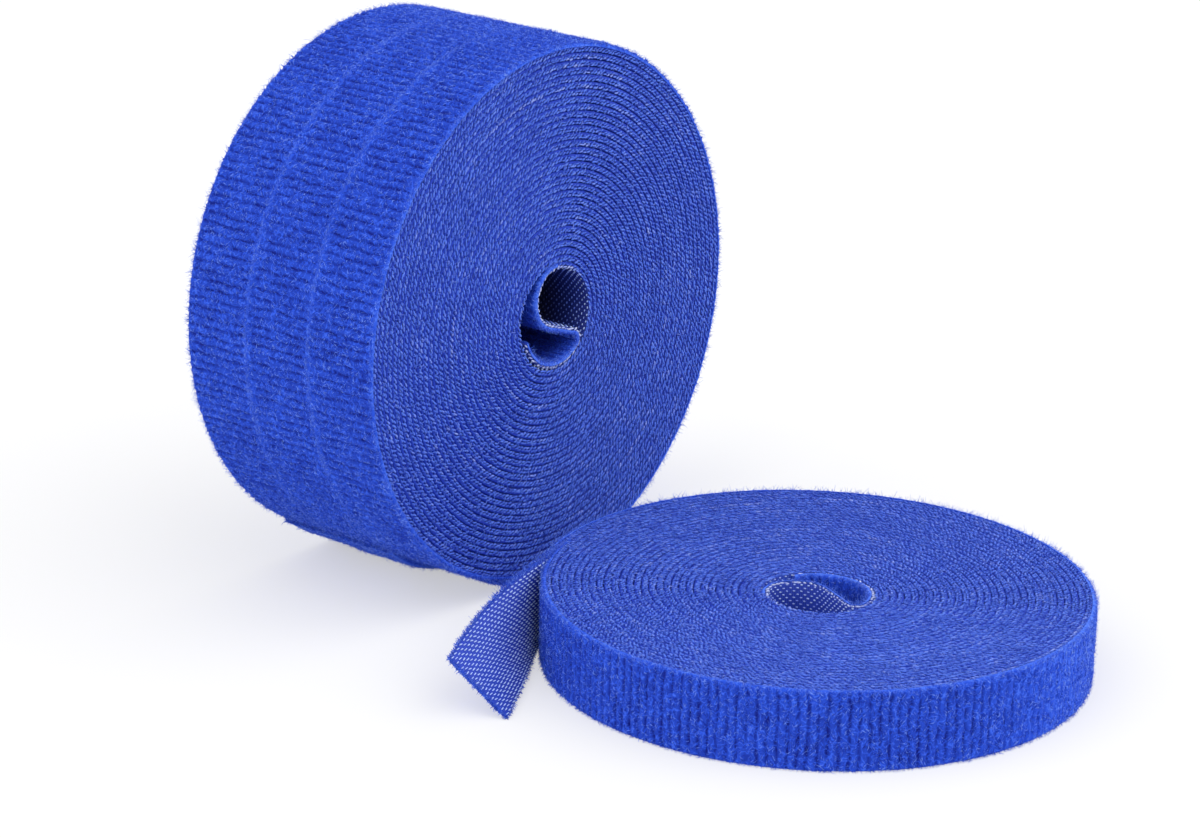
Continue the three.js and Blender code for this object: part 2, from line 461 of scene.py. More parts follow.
@dataclass
class Shape:
    """A mesh in the making.

    Attributes:
        points: (n, 3) places in the row frame.
        faces: arrays of point numbers, one for each count of corners.
        corners: bake coordinates of the faces' corners, in arrays like faces.
        marks: numbers that the points carry for their finish, by name.
    """

    points: Array
    faces: list[Array]
    corners: list[Array]
    marks: dict[str, Array]

    @classmethod
    def joined(cls, shapes: "list[Shape]") -> "Shape":
        """One shape of several, each baked in an upright slice of its own.

        Args:
            shapes: shapes that carry the same marks.

        Returns:
            The joined shape.
        """
        starts = np.cumsum([0] + [len(shape.points) for shape in shapes[:-1]])
        count = len(shapes)
        return cls(
            np.concatenate([shape.points for shape in shapes]),
            [faces + start for shape, start in zip(shapes, starts) for faces in shape.faces],
            [(corners + (place, 0)) / (count, 1)
             for place, shape in enumerate(shapes) for corners in shape.corners],
            {name: np.concatenate([shape.marks[name] for shape in shapes]) for name in shapes[0].marks},
        )

    def grounded(self) -> "Shape":
        """Presses a shape flat where it would reach under the ground.

        Returns:
            The pressed shape.
        """
        points = self.points.copy()
        points[:, 2] = np.maximum(points[:, 2], 0.0)
        return Shape(points, self.faces, self.corners, self.marks)

    def build(self, name: str, finish: Finish, slot: str) -> bpy.types.Object:
        """Makes the mesh object.

        Args:
            name: name of the piece.
            finish: what its surface is.
            slot: the record's material slot that it belongs to; not used.

        Returns:
            The object, linked to the scene and not yet riding on a body.
        """
        mesh = bpy.data.meshes.new(name)
        mesh.vertices.add(len(self.points))
        mesh.vertices.foreach_set("co", (self.points * MM).astype(np.float32).ravel())
        sides = np.concatenate([np.full(len(faces), faces.shape[1]) for faces in self.faces])
        numbers = np.concatenate([faces.ravel() for faces in self.faces])
        mesh.loops.add(len(numbers))
        mesh.loops.foreach_set("vertex_index", numbers.astype(np.int32))
        mesh.polygons.add(len(sides))
        mesh.polygons.foreach_set("loop_start", (np.cumsum(sides) - sides).astype(np.int32))
        mesh.polygons.foreach_set("use_smooth", np.ones(len(sides), bool))
        flat = np.concatenate([corners.reshape(-1, 2) for corners in self.corners])
        bake = mesh.uv_layers.new(name=BAKE_MAP)
        bake.data.foreach_set("uv", flat.astype(np.float32).ravel())
        for mark, values in self.marks.items():
            mesh.attributes.new(mark, "FLOAT", "POINT").data.foreach_set("value", values.astype(np.float32))
        mesh.materials.append(finish.value.material())
        mesh.update(calc_edges=True)
        made = bpy.data.objects.new(name, mesh)
        bpy.context.scene.collection.objects.link(made)
        log.info("%s: %d points, %d faces", name, len(self.points), len(sides))
        return made


def bake_faces(*corners: tuple[Array, Array]) -> Array:
    """Bake coordinates of like faces, from both coordinates of each of their corners in turn."""
    return np.stack([np.stack(corner, -1) for corner in corners], -2)


def bake_boxes(left: Array, right: Array, low: Array, high: Array) -> Array:
    """Bake coordinates of four-sided faces that stand upright in the square."""
    return bake_faces((left, low), (right, low), (right, high), (left, high))


def cell_corners(count: int, template: Array) -> Array:
    """Bake coordinates that give each of many like items a square cell of its own.

    Args:
        count: number of items.
        template: (faces, corners, 2) coordinates of one item's faces in the unit square.

    Returns:
        (count * faces, corners, 2) coordinates in the unit square.
    """
    side = math.ceil(math.sqrt(count))
    number = np.arange(count)
    origin = np.stack([number % side, number // side], -1)
    inset = CELL_MARGIN + template * (1 - 2 * CELL_MARGIN)
    return ((origin[:, None, None, :] + inset) / side).reshape(-1, *template.shape[1:])


def item_faces(count: int, template: Array, points: int) -> Array:
    """Faces of many like items, from the point numbers of one.

    Args:
        count: number of items.
        template: (faces, corners) point numbers of one item.
        points: points of one item.

    Returns:
        (count * faces, corners) point numbers.
    """
    return (template + np.arange(count)[:, None, None] * points).reshape(-1, template.shape[1])


@dataclass
class TapePath:
    """The hook face of a tape at mid width, as stations along its length.

    Attributes:
        point: (n, 3) places.
        out: (n, 3) ways from the hook face to the loop face.
        up: (n, 3) ways across the width.
        press: (n,) shares of its full thickness.
        length: (n,) distances along the tape from its inner end.
    """

    point: Array
    out: Array
    up: Array
    press: Array
    length: Array = field(init=False)

    def __post_init__(self) -> None:
        """Measures the distances along the tape."""
        steps = np.linalg.norm(np.diff(self.point, axis=0), axis=1)
        self.length = np.concatenate([[0.0], np.cumsum(steps)])

    def at(self, distance: Array) -> tuple[Array, Array, Array]:
        """Looks up the path between its stations.

        Args:
            distance: distances along the tape.

        Returns:
            Points, ways out and ways up there.
        """
        def between(values: Array) -> Array:
            """Values at the distances, each part by itself."""
            return np.stack([np.interp(distance, self.length, values[:, part]) for part in range(3)], -1)
        return between(self.point), unit(between(self.out)), unit(between(self.up))

    def place(self, distance: Array, depth: Array, rise: Array) -> Array:
        """Finds places in the tape.

        Args:
            distance: distances along it.
            depth: depths from its hook face, where it has its full thickness.
            rise: rises from mid width.

        Returns:
            The places.
        """
        point, out, up = self.at(distance)
        depth = depth * np.interp(distance, self.length, self.press)
        return point + depth[..., None] * out + rise[..., None] * up

    def stations(self, start: float, end: float, spacing: float) -> Array:
        """Even distances between two, about a spacing apart."""
        return np.linspace(start, end, max(2, math.ceil((end - start) / spacing) + 1))

    def point_m(self, distance: float) -> tuple[float, ...]:
        """Place at a distance along the tape, in metres."""
        return tuple((self.at(np.array([distance]))[0][0] * MM).tolist())

    def sweep(self, distance: Array, depth: Array, rise: Array, shade: Array) -> Shape:
        """Closed strip with a ring of points at each distance.

        Args:
            distance: (n,) distances along the tape.
            depth: (n, m) or (m,) depths of the ring's points; the first half lie on the strip's far side.
            rise: (m,) rises of the ring's points, up on the far side and down again on the near one.
            shade: (n, m) or (m,) shades of the points.

        Returns:
            The strip, with its cut ends closed.
        """
        count, ring = len(distance), len(rise)
        along = np.broadcast_to(distance[:, None], (count, ring))
        depths = np.broadcast_to(depth, (count, ring))
        rises = np.broadcast_to(rise, (count, ring))
        points = self.place(along, depths, rises).reshape(-1, 3)
        number = np.arange(count * ring).reshape(count, ring)
        near, far = number[:-1], number[1:]
        sides = np.stack([near, far, np.roll(far, -1, 1), np.roll(near, -1, 1)], -1).reshape(-1, 4)
        half = np.arange(ring // 2 - 1)
        cap = np.stack([half, half + 1, ring - 2 - half, ring - 1 - half], -1)
        caps = np.concatenate([cap, (cap + (count - 1) * ring)[:, ::-1]])
        marks = {
            "shade": np.broadcast_to(shade, (count, ring)).ravel(),
            "along": along.ravel(),
            "rise": rises.ravel(),
        }
        corners = np.concatenate([self._side_corners(distance, ring), self._cap_corners(len(caps))])
        return Shape(points, [np.concatenate([sides, caps])], [corners], marks)

    @staticmethod
    def _side_corners(distance: Array, ring: int) -> Array:
        """Lays out a strip's sides in rows that fill the lower part of the square.

        Args:
            distance: distances along the tape.
            ring: points of a ring.

        Returns:
            Bake coordinates of the sides.
        """
        steps = len(distance) - 1
        rows = max(1, round(math.sqrt((distance[-1] - distance[0]) / STRIP_GIRTH)))
        per_row = math.ceil(steps / rows)
        step = np.arange(steps)[:, None]
        side = np.arange(ring)[None, :]
        left = np.broadcast_to((step % per_row) / per_row, (steps, ring))
        low = (step // per_row + side / ring * ROW_FILL) / rows * SIDES_TOP
        high = low + ROW_FILL / ring / rows * SIDES_TOP
        return bake_boxes(left, left + 1 / per_row, low, high).reshape(-1, 4, 2)

    @staticmethod
    def _cap_corners(count: int) -> Array:
        """Lays out a strip's cut ends in a row along the top of the square.

        Args:
            count: faces of both ends.

        Returns:
            Bake coordinates of the faces.
        """
        left = np.arange(count) / count
        low, high = (np.full(count, level) for level in CAP_BAND)
        return bake_boxes(left, left + CAP_FILL / count, low, high)


def beads(centre: Array, along: Array, lift: Array, half: Array, shade: Array) -> Shape:
    """Many long rounded beads.

    Args:
        centre: (n, 3) middles.
        along: (n, 3) unit ways along the beads.
        lift: (n, 3) unit ways out of the surface that they sit on, square to along.
        half: (n, 3) half lengths, widths and heights.
        shade: (n,) shades.

    Returns:
        The beads as one shape.
    """
    side = np.cross(lift, along)
    sides = 4
    waist = 0.5
    reach = math.sqrt(1 - waist * waist)
    angle = TURN * (np.arange(sides) + 0.5) / sides
    ring = np.stack([np.zeros(sides), np.cos(angle) * reach, np.sin(angle) * reach], -1)
    form = np.concatenate([[(-1, 0, 0)], ring + (-waist, 0, 0), ring + (waist, 0, 0), [(1, 0, 0)]])
    scaled = form[None] * half[:, None, :]
    basis = np.stack([along, side, lift], 1)
    points = centre[:, None, :] + np.einsum("nvk,nkx->nvx", scaled, basis)
    here = np.arange(sides)
    following = (here + 1) % sides
    near, far = 1, 1 + sides
    quads = np.stack([near + here, near + following, far + following, far + here], -1)
    start = np.stack([np.zeros(sides, int), near + following, near + here], -1)
    end = np.stack([far + here, far + following, np.full(sides, far + sides)], -1)
    left, right = here / sides, (here + 1) / sides
    bottom, low, high, top = (np.full(sides, level) for level in (0.0, *BEAD_BAND, 1.0))
    middle = (left + right) / 2
    quad_cells = bake_boxes(left, right, low, high)
    start_cells = bake_faces((middle, bottom), (right, low), (left, low))
    end_cells = bake_faces((left, high), (right, high), (middle, top))
    count = len(centre)
    return Shape(
        points.reshape(-1, 3),
        [item_faces(count, quads, len(form)), item_faces(count, np.concatenate([start, end]), len(form))],
        [cell_corners(count, quad_cells), cell_corners(count, np.concatenate([start_cells, end_cells]))],
        {"shade": np.repeat(shade, len(form))},
    )


def threads(line: Array, lift: Array, radius: Array, shade: Array) -> Shape:
    """Many thin three-sided threads.

    Args:
        line: (n, k, 3) points along each thread.
        lift: (n, 3) rough way out of the surface under each thread.
        radius: (n, k) half thickness at each point.
        shade: (n, k) shades.

    Returns:
        The threads as one shape, each closed at both ends.
    """
    count, rings, _ = line.shape
    sides = 3
    off_line = 1e-4
    ahead = unit(np.gradient(line, axis=1))
    across = unit(np.cross(ahead, lift[:, None, :] + off_line))
    outward = np.cross(across, ahead)
    angle = TURN * (np.arange(sides) / sides + 0.25)
    spread = np.cos(angle)[None, None, :, None] * across[:, :, None, :]
    spread = spread + np.sin(angle)[None, None, :, None] * outward[:, :, None, :]
    points = line[:, :, None, :] + radius[:, :, None, None] * spread
    number = np.arange(rings * sides).reshape(rings, sides)
    near, far = number[:-1], number[1:]
    quads = np.stack([near, far, np.roll(far, -1, 1), np.roll(near, -1, 1)], -1).reshape(-1, 4)
    caps = np.stack([number[0], number[-1][::-1]])
    low = np.repeat(np.arange(rings - 1), sides) / (rings - 1) * THREAD_TOP
    left = np.tile(np.arange(sides), rings - 1) / sides
    high, right = low + THREAD_TOP / (rings - 1), left + 1 / sides
    quad_cells = bake_faces((left, low), (left, high), (right, high), (right, low))
    cap_cells = np.array(THREAD_CAPS)
    return Shape(
        points.reshape(-1, 3),
        [item_faces(count, quads, rings * sides), item_faces(count, caps, rings * sides)],
        [cell_corners(count, quad_cells), cell_corners(count, cap_cells)],
        {"shade": np.repeat(shade.reshape(-1), sides)},
    )


@dataclass(frozen=True)
class FibreMake:
    """Sizes of a kind of loose fibre, each with its lowest and highest value.

    Attributes:
        length: lengths.
        radius: half thicknesses.
        tone: shades.
        taper: share of its half thickness at each of its three points.
        glow: share of its shade at each of its three points; shares below 1 are painted shade where it lies
            deep in the pile.
        skew: beta distribution that the lengths follow; without it they are even.
    """

    length: tuple[float, float]
    radius: tuple[float, float]
    tone: tuple[float, float]
    taper: tuple[float, float, float]
    glow: tuple[float, float, float] = (1.0, 1.0, 1.0)
    skew: tuple[float, float] | None = None

    def lengths(self, draw: np.random.Generator, count: int) -> Array:
        """Draws lengths.

        Args:
            draw: random draws.
            count: number of fibres.

        Returns:
            (count, 1) lengths.
        """
        low, high = self.length
        if self.skew is None:
            return draw.uniform(low, high, (count, 1))
        return low + (high - low) * draw.beta(*self.skew, (count, 1))

    def radii(self, draw: np.random.Generator, count: int) -> Array:
        """Draws the half thicknesses of fibres, (count, 3)."""
        return draw.uniform(*self.radius, (count, 1)) * np.array(self.taper)

    def tones(self, draw: np.random.Generator, count: int) -> Array:
        """Draws the shades of fibres, (count, 1), before their glow."""
        return draw.uniform(*self.tone, (count, 1))


class Fibre(Enum):
    """Kinds of loose fibre."""

    STRAND = FibreMake((0.5, 1.15), (0.05, 0.08), (0.0, 0.95), taper=(0.5, 1.0, 0.5), glow=(0.7, 1.0, 0.7))
    STRAY = FibreMake((0.3, 1.1), (0.025, 0.045), (0.3, 1.0), taper=(1.0, 0.65, 0.3), glow=(0.7, 0.85, 1.0),
                      skew=(1.5, 3.0))
    LINT = FibreMake((0.4, 0.9), (0.04, 0.075), (0.05, 0.65), taper=(0.6, 1.0, 0.6))
    FRAY = FibreMake((0.25, 1.0), (0.035, 0.065), (0.1, 0.9), taper=(1.0, 0.9, 0.4), skew=(1.2, 3.0))


@dataclass(frozen=True)
class PileDensity:
    """How closely a pile's fibres stand.

    Attributes:
        strands: strands to a square millimetre.
        strays: stray fibres to a square millimetre.
        fringe: stray fibres to a millimetre of each edge.
    """

    strands: float
    strays: float
    fringe: float


class Pile(Enum):
    """Piles of the tape's stretches."""

    COIL = PileDensity(strands=3.7, strays=2.3, fringe=9.0)
    EYE = PileDensity(strands=3.0, strays=2.4, fringe=8.0)
    END = PileDensity(strands=3.7, strays=2.3, fringe=6.0)


class Edge(Enum):
    """The two edges of the tape, by the sign of their rise."""

    LOW = -1
    HIGH = 1


@dataclass(frozen=True)
class Tape:
    """Cross section of the tape.

    Attributes:
        width: full width over the selvedge stitches.
        hook_web: thickness of the woven hook web.
        bond: glue line between the webs.
        loop_web: thickness of the loop web under its pile.
        selvedge: how far the stitches stand out past the webs' edges.
        pile_inset: how far the pile between layers stays back from the webs' edges.
        pile_shade: shade of the pile between layers, painted dark for the shade there.
        bevel: share of a web's thickness that its edges are bevelled by.
    """

    width: float
    hook_web: float = 0.42
    bond: float = 0.03
    loop_web: float = 0.55
    selvedge: float = 0.28
    pile_inset: float = 1.5
    pile_shade: float = 0.2
    bevel: float = 0.25

    @property
    def thickness(self) -> float:
        """Thickness of both webs."""
        return self.hook_web + self.bond + self.loop_web

    @property
    def web_half(self) -> float:
        """Half width of the webs inside their selvedge."""
        return self.width / 2 - self.selvedge

    @property
    def web_rises(self) -> tuple[float, float]:
        """Rises of the webs' low and high edge."""
        return -self.web_half, self.web_half

    def hook_strip(self, path: TapePath, distance: Array, shade: tuple[float, float]) -> Shape:
        """Woven hook web along distances of a path, in shades of its low and its high edge."""
        return self._strip(path, distance, (0.0, self.hook_web), shade)

    def loop_strip(self, path: TapePath, distance: Array, shade: float) -> Shape:
        """Loop web along distances of a path, in one shade."""
        return self._strip(path, distance, (self.hook_web + self.bond, self.thickness), (shade, shade))

    def packed_pile(self, path: TapePath, distance: Array, far: float) -> Shape:
        """Pile pressed between layers.

        Args:
            path: the tape.
            distance: distances along it.
            far: depth that the pile reaches to, in the next layer.

        Returns:
            The pile, from the loop web on.
        """
        half = self.web_half - self.pile_inset
        depth = np.array([far, far, self.thickness, self.thickness])
        rise = np.array([-half, half, half, -half])
        return path.sweep(distance, depth, rise, np.full(len(rise), self.pile_shade))

    def _strip(self, path: TapePath, distance: Array, depths: tuple[float, float],
               shade: tuple[float, float]) -> Shape:
        """Strip with bevelled edges between two depths.

        Args:
            path: the tape.
            distance: distances along it.
            depths: depths of its near and far side from the hook face.
            shade: shades of its low and high edge.

        Returns:
            The strip.
        """
        near, far = depths
        half = self.web_half
        bevel = self.bevel * (far - near)
        across = np.array([-half, bevel - half, half - bevel, half])
        inset = np.array([bevel, 0.0, 0.0, bevel])
        tone = np.interp(across, (-half, half), shade)
        depth = np.concatenate([far - inset, (near + inset)[::-1]])
        return path.sweep(distance, depth, np.concatenate([across, across[::-1]]),
                          np.concatenate([tone, tone[::-1]]))


@dataclass(frozen=True)
class Nap:
    """Brushed pile on the loop face of the tape: ribs across it with dark gaps, under fine curly fibres.

    Attributes:
        path: the tape.
        half: half width of the pile.
        base: depth of the pile's floor from the hook face.
        seed: seed of its random draws.
        open_edges: edges that nothing lies against, where the pile is rounded off and its fibres spread.
        felt_start: distance along the tape past which the pile is felted, its ribs fade and light is
            painted on it.
        rib_spacing: distance between ribs along the tape.
        rib_height: height of a rib.
        rib_wander: how far a rib strays along the tape.
        wander_size: size along and across the tape of the noise that it strays by.
        gap_width: half width of the gap between ribs.
        gap_strength: middle and spread of how far a gap is cleared.
        gap_length: length across the tape over which that changes.
        gap_stride: distance between two gaps in the noise that it follows.
        grain: share of the relief that is grain.
        grain_size: size of the grain along and across the tape.
        edge_band: width of the band along the edges where the ribs fade and a highlight is painted on the
            pile.
        edge_round: radius that the pile is drawn in by at an open edge.
        shut_round: the same at an edge that lies against another roll.
        seam: how far the pile reaches past its half width there.
        felt_length: length over which the ribs fade and the painted light comes in.
        felt_fade: share of the gaps' strength that is lost there.
        grid_along: distance between points of its ground along the tape.
        grid_across: points of its ground across the tape.
        backing: how far its ground reaches under the pile's floor.
        least_thickness: least thickness of its ground.
        back_shade: shade of the ground's back.
        rib_shade: shade that the ribs add to the ground, which leaves the gaps between them as painted
            shade.
        edge_painted_highlight: highlight painted on the ground along the edges.
        felt_painted_light: shade added on the felted stretch, for paler felted pile and painted light.
        strand_rib: power of the relief that strands keep to the ribs by.
        strand_cover: height of the ribs that are covered in full.
        strand_heading: middle and spread of the angle between strands and the way across.
        strand_swing: spread of their bow along the tape.
        strand_lift: lowest and highest bow out of the pile.
        strand_sink: depth of their ends in the pile.
        strand_edge_painted_highlight: highlight painted on strands along the edges.
        strand_felt_painted_light: shade added to strands on the felted stretch, for the same.
        stray_aside: how far a stray fibre leans to either edge.
        stray_sweep: spread of its lean along the tape.
        stray_sink: depth of its root in the pile.
        stray_droop: share of its length that it droops by.
        stray_clear: distance that strays keep from an edge that lies against another roll.
        stray_cant: how far the way that strays stand in is turned across the tape.
        fringe_band: lowest share of the half width where the fringe stands.
        fringe_tone: lowest and highest shade of the fringe.
        open_spread: how far the fringe leans out at an open edge.
        shut_spread: the same at an edge that lies against another roll.
    """

    path: TapePath
    half: float
    base: float
    seed: int
    open_edges: tuple[Edge, ...]
    felt_start: float = math.inf
    rib_spacing: float = 1.45
    rib_height: float = 0.42
    rib_wander: float = 0.18
    wander_size: tuple[float, float] = (4.0, 3.0)
    gap_width: float = 0.24
    gap_strength: tuple[float, float] = (0.88, 0.6)
    gap_length: float = 1.4
    gap_stride: float = 7.3
    grain: float = 0.15
    grain_size: tuple[float, float] = (0.45, 0.6)
    edge_band: float = 0.35
    edge_round: float = 0.6
    shut_round: float = 0.1
    seam: float = 0.14
    felt_length: float = 35.0
    felt_fade: float = 0.8
    grid_along: float = 0.25
    grid_across: int = 32
    backing: float = 0.3
    least_thickness: float = 0.1
    back_shade: float = 0.5
    rib_shade: float = 0.39
    edge_painted_highlight: float = 0.24
    felt_painted_light: float = 0.28
    strand_rib: float = 1.5
    strand_cover: float = 0.9
    strand_heading: tuple[float, float] = (0.7, 0.35)
    strand_swing: float = 0.14
    strand_lift: tuple[float, float] = (0.04, 0.2)
    strand_sink: float = 0.04
    strand_edge_painted_highlight: float = 0.25
    strand_felt_painted_light: float = 0.16
    stray_aside: float = 0.8
    stray_sweep: float = 0.6
    stray_sink: float = 0.05
    stray_droop: float = 0.25
    stray_clear: float = 0.05
    stray_cant: float = 0.3
    fringe_band: float = 0.92
    fringe_tone: tuple[float, float] = (0.4, 1.0)
    open_spread: float = 1.3
    shut_spread: float = 0.3

    def limit(self, edge: Edge) -> float:
        """Distance from mid width to the pile's edge."""
        return self.half if edge in self.open_edges else self.half + self.seam

    def rises(self) -> Array:
        """Rises of the ground's points across the tape, closer together at the edges."""
        share = np.sin(np.linspace(-1, 1, self.grid_across) * math.pi / 2)
        return np.where(share < 0, share * self.limit(Edge.LOW), share * self.limit(Edge.HIGH))

    def edging(self, rise: Array) -> Array:
        """How far a rise lies in the band along the edges, where ribs fade and a highlight is painted, from
        0 to 1.
        """
        return np.exp(np.minimum(np.abs(rise) - self.half, 0.0) / self.edge_band)

    def felt(self, along: Array) -> Array:
        """How far the pile is felted and painted lighter at distances along the tape, from 0 to 1."""
        return np.clip((along - self.felt_start) / self.felt_length, 0.0, 1.0)

    def relief(self, along: Array, rise: Array) -> Array:
        """Height of the ribs.

        Args:
            along: distances along the tape.
            rise: rises from mid width.

        Returns:
            Heights from 0 in the deepest gaps to 1.
        """
        wander = self._noise(SeedStep.RIB_WANDER, along / self.wander_size[0], rise / self.wander_size[1])
        wander = wander + self._noise(SeedStep.RIB_SHIVER, along, rise)
        place = (along + self.rib_wander * wander) / self.rib_spacing
        gap = np.exp(-((place - np.round(place)) * self.rib_spacing / self.gap_width) ** 2)
        middle, spread = self.gap_strength
        change = self._noise(SeedStep.RIB_GAPS, np.round(place) * self.gap_stride, rise / self.gap_length)
        strength = np.clip(middle + spread * change, 0.0, 1.0)
        strength = strength * (1 - self.edging(rise)) * (1 - self.felt_fade * self.felt(along))
        grain = self._noise(SeedStep.RIB_GRAIN, along / self.grain_size[0], rise / self.grain_size[1])
        level = 1 - self.grain
        return np.clip(level - level * strength * gap + self.grain * grain, 0.0, 1.0)

    def _noise(self, use: SeedStep, x: Array, y: Array) -> Array:
        """Noise of its own for a use."""
        return SmoothNoise(self.seed + use).at(x, y)

    def depth(self, along: Array, rise: Array) -> Array:
        """Depth of the pile's surface from the hook face.

        Args:
            along: distances along the tape.
            rise: rises from mid width.

        Returns:
            The depths, less at the rounded edges.
        """
        drawn_in = 0.0
        for edge in Edge:
            radius = self.edge_round if edge in self.open_edges else self.shut_round
            inset = np.clip((edge.value * rise - self.limit(edge) + radius) / radius, 0.0, 1.0)
            drawn_in = drawn_in + radius * (1 - np.sqrt(1 - inset * inset))
        return self.base + self.rib_height * self.relief(along, rise) - drawn_in

    def ground(self, start: float, end: float, light: Array | float = 1.0) -> Shape:
        """Ribbed ground of the pile between two distances.

        Args:
            start: distance where the pile starts.
            end: distance where it ends.
            light: share of the light that falls on it, at each of its points across the tape.

        Returns:
            The ground, with a back that faces the web.
        """
        distance = self.path.stations(start, end, self.grid_along)
        rises = self.rises()
        along, across = np.meshgrid(distance, rises, indexing="ij")
        far = self.depth(along, across)
        near = np.minimum(far - self.least_thickness, self.base - self.backing)
        depth = np.concatenate([far, near[:, ::-1]], 1)
        # Ribs leave painted shade in the gaps between them, and the edges get a painted highlight.
        shade = self.rib_shade * self.relief(along, across) + self.edge_painted_highlight * self.edging(across)
        # The felted stretch is painted lighter, as paler felted pile and painted light.
        shade = shade + self.felt_painted_light * self.felt(along)
        shade = np.concatenate([shade * light, np.full_like(shade, self.back_shade)], 1)
        return self.path.sweep(distance, depth, np.concatenate([rises, rises[::-1]]), shade)

    def strands(self, start: float, end: float, density: PileDensity) -> Shape:
        """Curly fibres that lie on the ribs, mostly across the tape.

        Args:
            start: distance where the pile starts.
            end: distance where it ends.
            density: how closely they lie.

        Returns:
            The fibres.
        """
        draw = np.random.default_rng(self.seed + SeedStep.STRANDS)
        make = Fibre.STRAND.value
        wanted = int((end - start) * 2 * self.half * density.strands)
        tried = 2 * wanted
        middle = np.stack([draw.uniform(start, end, tried), draw.uniform(-self.half, self.half, tried)], -1)
        on_rib = self.relief(middle[:, 0], middle[:, 1]) ** self.strand_rib
        middle = middle[draw.uniform(0.0, self.strand_cover, tried) < on_rib][:wanted]
        count = len(middle)
        length = make.lengths(draw, count)
        heading = draw.choice([-1, 1], (count, 1)) * draw.normal(*self.strand_heading, (count, 1))
        swing = draw.normal(0.0, self.strand_swing, (count, 1)) * BOW
        along = np.clip(middle[:, :1] + length * SPAN * np.sin(heading) + swing, start, end)
        rise = np.clip(middle[:, 1:] + length * SPAN * np.cos(heading), -self.half, self.half)
        lift = draw.uniform(*self.strand_lift, (count, 1))
        depth = self.depth(along, rise) + lift * BOW - self.strand_sink * (1 - BOW)
        radius = make.radii(draw, count)
        # Strands along the edges get a painted highlight.
        tone = make.tones(draw, count) + self.strand_edge_painted_highlight * self.edging(rise)
        # Strands on the felted stretch are painted lighter too.
        tone = tone + self.strand_felt_painted_light * self.felt(along)
        _, out, _ = self.path.at(middle[:, 0])
        return threads(self.path.place(along, depth, rise), out, radius, tone * make.glow)

    def fuzz(self, start: float, end: float, density: PileDensity) -> Shape:
        """Stray fibres that stand off the pile, and a close fringe of them along both edges.

        Args:
            start: distance where the pile starts.
            end: distance where it ends.
            density: how closely they stand.

        Returns:
            The fibres.
        """
        draw = np.random.default_rng(self.seed + SeedStep.STRAYS)
        make = Fibre.STRAY.value
        count = int((end - start) * 2 * self.half * density.strays)
        along = [draw.uniform(start, end, count)]
        rise = [draw.uniform(-self.half, self.half, count)]
        aside = [draw.uniform(-self.stray_aside, self.stray_aside, count)]
        tone = [make.tones(draw, count)[:, 0]]
        for edge in Edge:
            spread = self.open_spread if edge in self.open_edges else self.shut_spread
            number = int((end - start) * density.fringe)
            along.append(draw.uniform(start, end, number))
            rise.append(edge.value * self.limit(edge) * draw.uniform(self.fringe_band, 1.0, number))
            aside.append(edge.value * draw.uniform(0.0, spread, number))
            tone.append(draw.uniform(*self.fringe_tone, number))
        along, rise, aside, tone = (np.concatenate(parts)[:, None] for parts in (along, rise, aside, tone))
        count = len(along)
        length = make.lengths(draw, count)
        sweep = draw.normal(0.0, self.stray_sweep, (count, 1))
        bend = ROOTED * ROOTED
        depth = self.depth(along, rise) - self.stray_sink + length * (ROOTED - self.stray_droop * bend)
        radius = make.radii(draw, count)
        across = rise + length * aside * bend
        for edge in Edge:
            if edge not in self.open_edges:
                limit = self.limit(edge) - self.stray_clear
                across = edge.value * np.minimum(edge.value * across, limit)
        _, out, up = self.path.at(along[:, 0])
        line = self.path.place(along + length * sweep * bend, depth, across)
        return threads(line, unit(out + self.stray_cant * up), radius, tone * make.glow)


